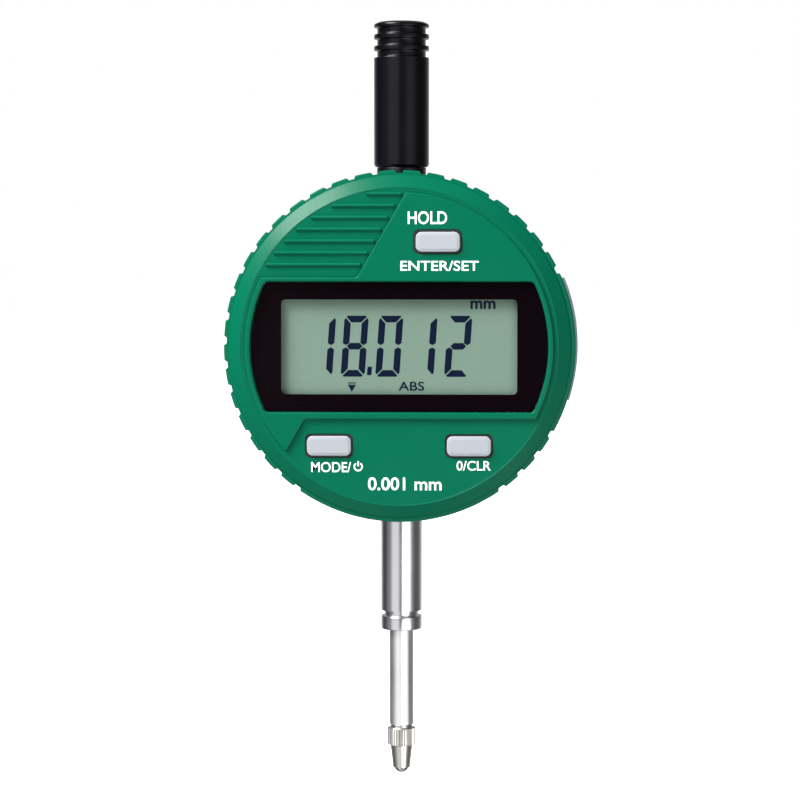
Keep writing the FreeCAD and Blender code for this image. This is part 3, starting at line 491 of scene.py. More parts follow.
def finish_mesh(mesh: bpy.types.Mesh, name: str, finish: Finish, body: Body,
                replaced: Iterable[str] = (), sharp_angle: float = 32.0) -> bpy.types.Object:
    """Make a finished piece of a mesh that already lies in its place.

    Args:
        mesh: the mesh, in metres, in the row frame.
        name: the piece's name.
        finish: its finish.
        body: the body that it rides on.
        replaced: CAD nodes that it stands for.
        sharp_angle: edges that turn more than this many degrees stay sharp.

    Returns:
        The piece.
    """
    mesh.materials.clear()
    mesh.materials.append(finish.material())
    mesh.shade_smooth()
    mesh.set_sharp_from_angle(angle=math.radians(sharp_angle))
    piece = bpy.data.objects.new(name, mesh)
    bpy.context.scene.collection.objects.link(piece)
    even = piece.modifiers.new("even_faces", "WEIGHTED_NORMAL")
    even.keep_sharp = True
    piece.data = plain_mesh(piece)
    piece.modifiers.remove(even)
    piece.data.name = name
    bpy.data.meshes.remove(mesh)
    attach(piece, body.value)
    if replaced:
        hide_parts(*replaced)
    LOG.info("%s: %d faces, rides on %s", name, len(piece.data.polygons), body.value)
    return piece


def clean(mesh: bpy.types.Mesh, merge_mm: float = 0.0005) -> bpy.types.Mesh:
    """Merge doubles and turn every face outwards.

    Args:
        mesh: the mesh to clean.
        merge_mm: points nearer than this are merged.

    Returns:
        The same mesh.
    """
    work = bmesh.new()
    work.from_mesh(mesh)
    bmesh.ops.remove_doubles(work, verts=work.verts, dist=merge_mm * MM)
    bmesh.ops.recalc_face_normals(work, faces=work.faces)
    work.to_mesh(mesh)
    work.free()
    return mesh


def joined(meshes: Iterable[bpy.types.Mesh]) -> bpy.types.Mesh:
    """Join meshes into one.

    Args:
        meshes: the meshes, which are removed.

    Returns:
        The joined mesh.
    """
    work = bmesh.new()
    for mesh in list(meshes):
        work.from_mesh(mesh)
        bpy.data.meshes.remove(mesh)
    whole = bpy.data.meshes.new("joined")
    work.to_mesh(whole)
    work.free()
    return whole


def turned(profile: list[Point], axis: Axis, angles: Optional[list[float]] = None, closed: bool = True,
           clip: Optional[Callable[[float, float], float]] = None,
           centre: Optional[Vector] = None) -> bpy.types.Mesh:
    """Spin a profile about the stem axis or the dial's axis.

    Args:
        profile: (radius, height) points about the stem, or (radius, forward) about the dial.
        axis: which axis.
        angles: the angles of the sections in degrees, clockwise from the top on the dial.
        closed: whether the profile is a closed ring; otherwise it runs from axis to axis.
        clip: gives the greatest radius at an angle, from the angle and the point's own radius.
        centre: where the axis passes, instead of the dial's centre.

    Returns:
        The closed mesh.
    """
    turns = angles if angles is not None else [360 * step / 160 for step in range(160)]
    origin = centre if centre is not None else DIAL_CENTRE
    work = bmesh.new()
    sections = []
    for degrees in turns:
        turn = math.radians(degrees)
        section = []
        for radius, along in profile:
            reach = clip(degrees, radius) if clip else radius
            if axis is Axis.STEM:
                place = Vector((reach * math.cos(turn), reach * math.sin(turn), along))
            else:
                place = Vector((reach * math.sin(turn), -along, reach * math.cos(turn)))
            section.append(work.verts.new(origin + place * MM))
        sections.append(section)
    spans = len(profile) if closed else len(profile) - 1
    for index, section in enumerate(sections):
        following = sections[(index + 1) % len(sections)]
        for span in range(spans):
            after = (span + 1) % len(profile)
            work.faces.new((section[span], following[span], following[after], section[after]))
    mesh = bpy.data.meshes.new("turned")
    bmesh.ops.remove_doubles(work, verts=work.verts, dist=1e-7)
    bmesh.ops.dissolve_degenerate(work, edges=work.edges, dist=1e-7)
    bmesh.ops.recalc_face_normals(work, faces=work.faces)
    work.to_mesh(mesh)
    work.free()
    return mesh


def plate(outlines: list[list[Point]], back: float, front: float, edge: float = 0.0) -> bpy.types.Mesh:
    """Make a plate parallel to the dial's face, with holes and softly rounded edges.

    Args:
        outlines: the outer outline and the holes.
        back: forward place of its back face.
        front: forward place of its front face.
        edge: radius of its rounded edges.

    Returns:
        The mesh in its place.
    """
    curve = bpy.data.curves.new("plate", "CURVE")
    curve.dimensions = "2D"
    curve.fill_mode = "BOTH"
    for outline in outlines:
        spline = curve.splines.new("POLY")
        spline.points.add(len(outline) - 1)
        for point, (across, up) in zip(spline.points, outline):
            point.co = (across, up, 0.0, 1.0)
        spline.use_cyclic_u = True
    curve.extrude = (front - back) / 2 - edge
    curve.bevel_depth = edge
    curve.bevel_resolution = 2
    curve.offset = -edge
    holder = bpy.data.objects.new("plate", curve)
    bpy.context.scene.collection.objects.link(holder)
    mesh = plain_mesh(holder)
    bpy.data.objects.remove(holder)
    bpy.data.curves.remove(curve)
    shift = Matrix.Translation(at(0, 0, (front + back) / 2))
    mesh.transform(shift @ Matrix.Scale(MM, 4) @ FACING)
    return clean(mesh)


def lettering(words: str, across: float, up: float, forward: float, width: float, height: float,
              bold: float = 0.0) -> bpy.types.Mesh:
    """Make thin raised lettering of a given size on the dial.

    Args:
        words: the letters.
        across: the middle of the word across.
        up: the middle of the letters' height.
        forward: the place of the surface that it is printed on.
        width: the word's full width.
        height: the letters' full height.
        bold: how far the strokes are fattened, as a share of the letter size.

    Returns:
        The mesh in its place.
    """
    ink = 0.03
    text = bpy.data.curves.new("lettering", "FONT")
    text.body = words
    text.offset = bold
    text.extrude = 0.5
    text.resolution_u = 4
    holder = bpy.data.objects.new("lettering", text)
    bpy.context.scene.collection.objects.link(holder)
    mesh = plain_mesh(holder)
    bpy.data.objects.remove(holder)
    bpy.data.curves.remove(text)
    low = [min(vert.co[i] for vert in mesh.vertices) for i in range(2)]
    high = [max(vert.co[i] for vert in mesh.vertices) for i in range(2)]
    scale = Matrix.Diagonal((width / (high[0] - low[0]), height / (high[1] - low[1]), ink, 1.0))
    middle = Matrix.Translation((-(low[0] + high[0]) / 2, -(low[1] + high[1]) / 2, 0))
    shift = Matrix.Translation(at(across, up, forward + ink / 4))
    mesh.transform(shift @ Matrix.Scale(MM, 4) @ FACING @ scale @ middle)
    return clean(mesh)


# ---------------------------------------------------------------- geometry node trees


class NodeShape:
    """A mesh made by a geometry node tree with named inputs."""

    def __init__(self, name: str, finish: Finish) -> None:
        """Start a tree with an output that ends in Realize Instances and Set Material.

        Args:
            name: the tree's name.
            finish: the finish that Set Material puts on.
        """
        self.finish = finish
        self.tree = bpy.data.node_groups.new(name, "GeometryNodeTree")
        self.tree.interface.new_socket("Geometry", in_out="OUTPUT", socket_type="NodeSocketGeometry")
        self.values: dict[str, float] = {}
        self.source = add_node(self.tree, "NodeGroupInput")
        self.end = add_node(self.tree, "NodeGroupOutput")

    def size(self, name: str, setting: float, whole: bool = False) -> None:
        """Add a named input.

        Args:
            name: the input's name.
            setting: its value.
            whole: whether it is a whole number.
        """
        kind = "NodeSocketInt" if whole else "NodeSocketFloat"
        self.tree.interface.new_socket(name, in_out="INPUT", socket_type=kind)
        self.values[name] = setting

    def read(self, name: str) -> bpy.types.NodeSocket:
        """Give the socket that carries a named input.

        Args:
            name: the input's name.

        Returns:
            The socket.
        """
        return self.source.outputs[name]

    def feed(self, node: bpy.types.Node, terms: Iterable[Term]) -> bpy.types.NodeSocket:
        """Set or link a node's inputs in order.

        Args:
            node: the node.
            terms: numbers or sockets.

        Returns:
            The node's first output.
        """
        for socket, term in zip(node.inputs, terms):
            if isinstance(term, (int, float)):
                socket.default_value = term
            else:
                self.tree.links.new(term, socket)
        return node.outputs[0]

    def math(self, operation: str, *terms: Term) -> bpy.types.NodeSocket:
        """Add a sum of numbers and sockets.

        Args:
            operation: the Math node's operation.
            terms: numbers or sockets.

        Returns:
            The result's socket.
        """
        return self.feed(add_node(self.tree, "ShaderNodeMath", operation=operation), terms)

    def vector(self, x: Term, y: Term, z: Term) -> bpy.types.NodeSocket:
        """Join three numbers or sockets into a vector.

        Args:
            x: the first part.
            y: the second part.
            z: the third part.

        Returns:
            The vector's socket.
        """
        return self.feed(add_node(self.tree, "ShaderNodeCombineXYZ"), (x, y, z))

    def bake(self, geometry: bpy.types.NodeSocket) -> bpy.types.Mesh:
        """Close the tree, run it once and keep its plain mesh.

        Args:
            geometry: the last geometry of the tree.

        Returns:
            The mesh, in the tree's own units and place.
        """
        real = add_node(self.tree, "GeometryNodeRealizeInstances", {"Geometry": geometry})
        dressed = add_node(self.tree, "GeometryNodeSetMaterial", {"Geometry": real.outputs["Geometry"]})
        dressed.inputs["Material"].default_value = self.finish.material()
        self.tree.links.new(dressed.outputs["Geometry"], self.end.inputs[0])
        carrier = bpy.data.objects.new("carrier", bpy.data.meshes.new("carrier"))
        bpy.context.scene.collection.objects.link(carrier)
        modifier = carrier.modifiers.new("shape", "NODES")
        modifier.node_group = self.tree
        for item in self.tree.interface.items_tree:
            if item.in_out == "INPUT" and item.name in self.values:
                modifier[item.identifier] = self.values[item.name]
        mesh = plain_mesh(carrier)
        carrier.modifiers.remove(modifier)
        bpy.data.objects.remove(carrier)
        return mesh


# ---------------------------------------------------------------- the turning dial


@dataclass
class DialFront:
    """The green moulded front with its raised face, ribs, seals and legends."""

    rim_radius: float = 33.5
    rim_back: float = 5.8
    notch_depth: float = 0.55
    notch_step: float = 8.0
    notch_half_angle: float = 1.43
    notch_slope: float = 0.43
    rim_chamfer: float = 0.25
    wall_radius: float = 31.6
    ledge_radius: float = 30.6
    bevel_foot: float = 30.0
    bevel_inner: Point = (30.2, 12.98)
    bevel_outer: Point = (32.5, 11.6)
    shoulder_inner: Point = (32.6, 11.24)
    shoulder_outer: Point = (33.3, 11.22)
    rim_front: float = 10.9
    tuck: float = 0.004
    raised_radius: float = 29.3
    raised_front: float = 13.6
    field_front: float = 12.9
    ledge_front: float = 12.35
    wall_inner: float = 11.2
    raised_top: float = 13.2
    raised_bottom: float = 13.7
    slope_foot: float = 7.95
    lower_slope: float = 17.9
    slope_rise: float = 1.732
    rib_circle: float = 29.65
    window_radius: float = 28.3
    window_half: float = 12.4
    aperture: Point = (46.4, 19.6)
    opening: Point = (9.15, 4.6)
    key_corner: float = 1.1
    keys: dict = field(default_factory=lambda: {
        "start": (7.4, 19.9), "mode": (-13.3, -18.8), "zero": (13.3, -18.8)})

    def notch_angles(self) -> list[float]:
        """List the middles of the rim's notches, clockwise from the top.

        Returns:
            The angles; two stretches of the rim are smooth.
        """
        count = int(360 / self.notch_step)
        middles = [step * self.notch_step for step in range(count)]
        return [a for a in middles if not 68 < a < 116 and not 148 < a < 212]

    def rim(self) -> bpy.types.Mesh:
        """Turn the rim, bevel and lip, with the notches cut back at their own angles.

        Returns:
            The mesh.
        """
        inner, outer = self.raised_radius - 0.5, self.rim_radius
        under = self.field_front - self.tuck
        profile = filleted([
            (inner, under, 0), (self.bevel_foot, under, 0.06), (*self.bevel_inner, 0.08),
            (*self.bevel_outer, 0.1), (*self.shoulder_inner, 0.08), (*self.shoulder_outer, 0.1),
            (outer, self.rim_front, 0.1), (outer, self.rim_back + self.rim_chamfer, 0),
            (outer - self.rim_chamfer, self.rim_back, 0), (self.wall_radius, self.rim_back, 0),
            (self.wall_radius, self.wall_inner, 0), (inner, self.wall_inner, 0)])
        floor = outer - self.notch_depth
        half, slope = self.notch_half_angle, self.notch_slope
        corner = 0.12
        depths = [(-half - corner, 0.0), (-half, 0.06), (-half + slope, 0.5), (-half + slope + corner, 0.55),
                  (half - slope - corner, 0.55), (half - slope, 0.5), (half, 0.06), (half + corner, 0.0)]
        middles = self.notch_angles()
        limits = {(middle + turn) % 360: outer - depth for middle in middles for turn, depth in depths}
        for angle in range(360):
            if all(abs((angle - middle + 180) % 360 - 180) > half + 0.2 for middle in middles):
                limits.setdefault(float(angle), outer)
        angles = sorted(limits)

        def clip(angle: float, radius: float) -> float:
            """Hold a point back to the notch's floor.

            Args:
                angle: where round the dial the point lies, in degrees.
                radius: the point's own radius.

            Returns:
                The radius that it gets.
            """
            return min(radius, limits[angle]) if radius > floor - 0.2 else radius

        return turned(profile, Axis.DIAL, angles, clip=clip)

    def opening_of(self, key: str, grow: float = 0.0) -> list[Point]:
        """Outline the opening of one key.

        Args:
            key: the key's name.
            grow: how much wider than the real opening.

        Returns:
            The outline.
        """
        across, up = self.keys[key]
        width, height = self.opening
        return rectangle(across, up, width + grow, height + grow, self.key_corner + grow / 2)

    def raised_outline(self) -> list[Point]:
        """Outline the raised face.

        Returns:
            A band across the dial that widens at the upper right and the lower left.
        """
        radius, rise = self.raised_radius, self.slope_rise

        def meet(foot: float, level: float, up: bool) -> float:
            """Give the angle at which a slope meets the face's own circle.

            Args:
                foot: where the slope starts, left of the dial's centre.
                level: the height at which it starts.
                up: whether the upper meeting point is wanted.

            Returns:
                The angle in degrees, anticlockwise from the right.
            """
            lift = foot + level / rise
            a, b, c = 1 + rise * rise, 2 * rise * rise * lift, rise * rise * lift * lift - radius * radius
            root = math.sqrt(b * b - 4 * a * c)
            across = (-b + (root if up else -root)) / (2 * a)
            return math.degrees(math.atan2(rise * (across + lift), across))

        top_angle = meet(self.slope_foot, self.raised_top, True)
        low_angle = meet(self.lower_slope, -self.raised_bottom, False)
        right_angle = -math.degrees(math.asin(self.raised_bottom / radius))
        left_angle = 180 - math.degrees(math.asin(self.raised_top / radius))
        path: list[Corner] = []
        path += [(x, y, 0.0) for x, y in arc(radius, right_angle, top_angle, 90)[1:-1]]
        path += [(*arc(radius, top_angle, top_angle, 1)[0], 0.25)]
        path += [(-self.slope_foot, self.raised_top, 0.7)]
        path += [(*arc(radius, left_angle, left_angle, 1)[0], 0.25)]
        path += [(x, y, 0.0) for x, y in arc(radius, left_angle, 360 + low_angle, 50)[1:-1]]
        path += [(*arc(radius, low_angle, low_angle, 1)[0], 0.25)]
        path += [(-self.lower_slope, -self.raised_bottom, 0.7)]
        path += [(*arc(radius, right_angle, right_angle, 1)[0], 0.3)]
        return filleted(path)

    def ribs(self) -> bpy.types.Mesh:
        """Lay the seven ribs of the upper left with geometry nodes.

        Returns:
            The mesh in its place.
        """
        shape = NodeShape("ribs", GREEN_ABS)
        shape.size("Count", 7, whole=True)
        for name, setting in (("Top", 29.0), ("Pitch", 2.23), ("Width", 0.76), ("Height", 0.46),
                              ("Lip", self.rib_circle), ("Foot", self.slope_foot),
                              ("Level", self.raised_top), ("Rise", self.slope_rise), ("Gap", 0.75)):
            shape.size(name, setting)
        index = add_node(shape.tree, "GeometryNodeInputIndex").outputs[0]
        up = shape.math("SUBTRACT", shape.read("Top"), shape.math("MULTIPLY", index, shape.read("Pitch")))
        square = shape.math("SUBTRACT", shape.math("POWER", shape.read("Lip"), 2.0),
                            shape.math("POWER", up, 2.0))
        left = shape.math("MULTIPLY", shape.math("SQRT", square), -1.0)
        slope = shape.math("DIVIDE", shape.math("SUBTRACT", up, shape.read("Level")), shape.read("Rise"))
        right = shape.math("SUBTRACT", shape.math("SUBTRACT", slope, shape.read("Foot")), shape.read("Gap"))
        length = shape.math("SUBTRACT", right, left)
        middle = shape.math("MULTIPLY", shape.math("ADD", right, left), 0.5)
        line = add_node(shape.tree, "GeometryNodeMeshLine", {"Count": shape.read("Count")})
        spread = add_node(shape.tree, "GeometryNodeSetPosition",
                          {"Geometry": line.outputs["Mesh"], "Position": shape.vector(middle, up, 0.0)})
        section = add_node(shape.tree, "GeometryNodeCurvePrimitiveCircle", Resolution=20)
        section.inputs["Radius"].default_value = 0.5
        bar = add_node(shape.tree, "GeometryNodeCurvePrimitiveLine", Start=(-0.5, 0, 0), End=(0.5, 0, 0))
        rod = add_node(shape.tree, "GeometryNodeCurveToMesh",
                       {"Curve": bar.outputs["Curve"], "Profile Curve": section.outputs["Curve"]})
        rod.inputs["Fill Caps"].default_value = True
        scale = shape.vector(length, shape.read("Width"), shape.math("MULTIPLY", shape.read("Height"), 2.0))
        laid = add_node(shape.tree, "GeometryNodeInstanceOnPoints",
                        {"Points": spread.outputs["Geometry"], "Instance": rod.outputs["Mesh"],
                         "Scale": scale})
        mesh = shape.bake(laid.outputs["Instances"])
        mesh.transform(Matrix.Translation(at(0, 0, self.field_front)) @ Matrix.Scale(MM, 4) @ FACING)
        return mesh

    def bezel(self) -> None:
        """Build the whole moulding as one piece."""
        window = lens_outline(self.window_radius, self.window_half, 1.1)
        wide_window = lens_outline(self.window_radius + 0.3, self.window_half + 0.3, 1.3)
        all_keys = [self.opening_of(key) for key in self.keys]
        wide_keys = [self.opening_of(key, 0.1) for key in self.keys]
        ledge = plate([arc(self.ledge_radius, 0, 360, 180)[:-1],
                       rectangle(0, 0, *self.aperture, 1.0)] + wide_keys,
                      self.wall_inner, self.ledge_front)
        lower = [all_keys[1], all_keys[2], self.opening_of("start", 0.3)]
        field_plate = plate([arc(self.raised_radius, 0, 360, 220)[:-1], wide_window] + lower,
                            self.ledge_front - 0.1, self.field_front, 0.05)
        raised = plate([self.raised_outline(), window, all_keys[0]], self.field_front - 0.35,
                       self.raised_front, 0.26)
        mesh = joined([self.rim(), ledge, field_plate, raised, self.ribs()])
        finish_mesh(mesh, "bezel_moulding", GREEN_ABS, Body.DIAL, ["front_bezel"])

    def seals(self) -> None:
        """Build the rubber seals that line the key openings."""
        rings = []
        for key in self.keys:
            level = self.raised_front if key == "start" else self.field_front
            across, up = self.keys[key]
            inner = rectangle(across, up, 8.46, 3.88, 0.9)
            rings.append(plate([self.opening_of(key, -0.02), inner], self.wall_inner, level - 0.12, 0.06))
        finish_mesh(joined(rings), "key_opening_seals", NITRILE, Body.DIAL, ["key_seals"])

    def legends(self) -> None:
        """Print the plain words by the keys and the reading step at the bottom."""
        high, low = self.raised_front, self.field_front
        words = [lettering("HOLD", 5.4, 24.45, high, 7.4, 2.45, 0.012),
                 lettering("ENTER/SET", 7.7, 15.4, high, 14.8, 1.9, 0.012),
                 lettering("MODE/", -12.9, -22.85, low, 7.6, 1.95, 0.008),
                 lettering("0/CLR", 14.2, -22.5, low, 6.5, 1.85, 0.01),
                 lettering("0.001 mm", 1.1, -26.0, low, 14.0, 2.5, 0.014)]
        words.append(self.power_sign(-7.75, -22.75, low))
        finish_mesh(joined(words), "legends", WHITE_INK, Body.DIAL)

    def power_sign(self, across: float, up: float, forward: float) -> bpy.types.Mesh:
        """Make the common on and off sign: a broken ring with a bar.

        Args:
            across: its middle across.
            up: its middle up.
            forward: the surface that it is printed on.

        Returns:
            The mesh in its place.
        """
        outer = arc(0.88, 125, 415, 24, (across, up))
        inner = arc(0.6, 415, 125, 24, (across, up))
        bar = rectangle(across, up + 0.55, 0.28, 1.0)
        return joined([plate([outer + inner], forward - 0.01, forward + 0.02),
                       plate([bar], forward - 0.01, forward + 0.02)])

    def build(self) -> None:
        """Build every piece of the dial's front."""
        self.bezel()
        self.seals()
        self.legends()


@dataclass
class Display:
    """The lens with its printed border, and the reading on the liquid crystal."""

    window_radius: float = 28.25
    window_half: float = 12.35
    window_front: float = 13.55
    window_back: float = 12.45
    view: Point = (44.8, 18.0)
    digit: Point = (4.6, 11.6)
    bar: float = 1.26
    digit_low: float = -5.7
    digit_rights: tuple = (-12.4, -6.2, 0.4, 6.9, 13.5)
    reading: str = "18012"
    slant: float = 4.0

    LIT = {"0": "abcdef", "1": "bc", "2": "abdeg", "8": "abcdefg"}

    def lens(self) -> None:
        """Build the clear lens and the black print on its back."""
        outline = lens_outline(self.window_radius, self.window_half, 1.05)
        glass = plate([outline], self.window_back, self.window_front, 0.12)
        pane = finish_mesh(glass, "lens", ACRYLIC, Body.DIAL, ["display_window"])
        pane.visible_shadow = False
        border = lens_outline(self.window_radius - 0.05, self.window_half - 0.05, 1.0)
        hole = rectangle(0, 0, *self.view, 0.8)
        ink = plate([border, hole], self.window_back - 0.09, self.window_back - 0.04)
        finish_mesh(ink, "lens_print", BLACK_INK, Body.DIAL, ["window_adhesive"])

    def segments(self) -> dict[str, list[Point]]:
        """Outline the seven bars of a digit about its lower left corner.

        Returns:
            Bar letter to outline.
        """
        wide, tall = self.digit
        thick, middle, half = self.bar, self.digit[1] / 2, self.bar / 2
        right = [(wide - 0.25, tall - 0.42), (wide, tall - 0.8), (wide, middle + 0.6),
                 (wide - half, middle + 0.2), (wide - thick, middle + 0.6),
                 (wide - thick, tall - thick - 0.22)]
        top = [(0.55, tall), (wide - 0.55, tall), (wide - 0.38, tall - 0.2),
               (wide - thick - 0.1, tall - thick), (thick + 0.1, tall - thick), (0.38, tall - 0.2)]
        bars = {
            "a": top,
            "b": right,
            "c": [(x, tall - y) for x, y in right],
            "d": [(x, tall - y) for x, y in top],
            "e": [(wide - x, tall - y) for x, y in right],
            "f": [(wide - x, y) for x, y in right],
            "g": [(0.8, middle), (1.4, middle + half), (wide - 1.4, middle + half),
                  (wide - 0.8, middle), (wide - 1.4, middle - half), (1.4, middle - half)],
        }
        return {name: [self.leaned(x, y) for x, y in bar] for name, bar in bars.items()}

    def leaned(self, across: float, up: float) -> Point:
        """Lean a point of a digit over to the right.

        Args:
            across: millimetres from the digit's left side.
            up: millimetres above the digit's foot.

        Returns:
            The leaned point.
        """
        return across + (up - self.digit[1] / 2) * math.tan(math.radians(self.slant)), up

    def panel_front(self) -> float:
        """Give the forward place of the liquid crystal's face.

        Returns:
            Millimetres in front of the stem axis.
        """
        return -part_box("lcd_panel")[0].y / MM

    def digits(self) -> None:
        """Lay the reading, its point, the unit and the two small signs."""
        face = self.panel_front()
        back, front = face - 0.01, face + 0.012
        bars = self.segments()
        pieces = []
        for figure, right in zip(self.reading, self.digit_rights):
            for name in self.LIT[figure]:
                outline = [(x + right - self.digit[0], y + self.digit_low) for x, y in bars[name]]
                pieces.append(plate([outline], back, front))
        dot = [self.leaned(x, y) for x, y in rectangle(0.0, 1.1, 0.85, 1.6)]
        pieces.append(plate([[(x - 5.35, y + self.digit_low) for x, y in dot]], back, front))
        arrow = [(-9.8, -7.3), (-8.3, -7.3), (-9.05, -8.6)]
        pieces.append(plate([arrow], back, front))
        for up in (-7.1, -6.85):
            pieces.append(plate([rectangle(-9.05, up, 1.5, 0.13)], back, front))
        pieces.append(lettering("mm", 15.9, 8.0, face - 0.01, 4.75, 1.6, 0.025))
        pieces.append(lettering("ABS", 2.3, -7.5, face - 0.01, 4.9, 1.75, 0.015))
        finish_mesh(joined(pieces), "reading", LCD_INK, Body.DIAL)

    def build(self) -> None:
        """Build the display."""
        self.lens()
        self.digits()


@dataclass
class Keys:
    """The three keys, each with a soft rounded rim."""

    width: float = 8.4
    height: float = 3.8
    corner: float = 1.1

    def key(self, name: str) -> None:
        """Build one key over its CAD node.

        Args:
            name: the CAD node and body.
        """
        low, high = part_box(name)
        across = (low.x + high.x) / 2 / MM
        up = ((low.z + high.z) / 2 - DIAL_CENTRE.z) / MM
        front, back = -low.y / MM, -high.y / MM
        flange_back = back + 0.45
        cap = plate([rectangle(across, up, self.width, self.height, self.corner)], flange_back,
                    front - 0.06, 0.28)
        pad = plate([rectangle(across, up, self.width - 0.9, self.height - 0.9, 0.7)],
                    front - 0.5, front, 0.1)
        flange = plate([rectangle(across, up, self.width + 2, self.height + 2, 1.2)], flange_back,
                       flange_back + 0.6, 0.05)
        plunger = plate([arc(1.2, 0, 360, 32, (across, up))[:-1]], back, flange_back + 0.1)
        mesh = joined([cap, pad, flange, plunger])
        finish_mesh(mesh, name + "_cap", KEY_SILICONE, Body(name), [name])

    def build(self) -> None:
        """Build the three keys."""
        for name in ("start_key", "mode_key", "zero_key"):
            self.key(name)


# ---------------------------------------------------------------- cap, stem and spindle


@dataclass
class DustCap:
    """The tall black cap with three finger grooves."""

    radius: float = 5.3
    groove_radius: float = 4.67
    bottom: float = 34.4
    groove_top: float = 61.3
    groove_pitch: float = 2.22
    groove_width: float = 1.35
    bore: float = 3.75

    def build(self) -> None:
        """Turn the cap."""
        outline: list[Corner] = [(self.bore, self.bottom, 0.1), (self.radius - 0.35, self.bottom, 0.15),
                                 (self.radius, self.bottom + 0.4, 0.2)]
        for number in (2, 1, 0):
            top = self.groove_top - number * self.groove_pitch
            outline += [(self.radius, top - self.groove_width - 0.1, 0.12),
                        (self.groove_radius, top - self.groove_width + 0.05, 0.18),
                        (self.groove_radius, top - 0.2, 0.18), (self.radius, top - 0.05, 0.12)]
        outline += [(self.radius, 61.85, 0.35), (4.4, 62.25, 0.8), (2.0, 62.42, 1.0), (0, 62.45, 0),
                    (0, 60.8, 0), (self.bore, 60.8, 0.3)]
        mesh = turned(filleted(outline, steps=4), Axis.STEM)
        finish_mesh(mesh, "dust_cap_turned", BLACK_ABS, Body.DUST_CAP, ["dust_cap"])


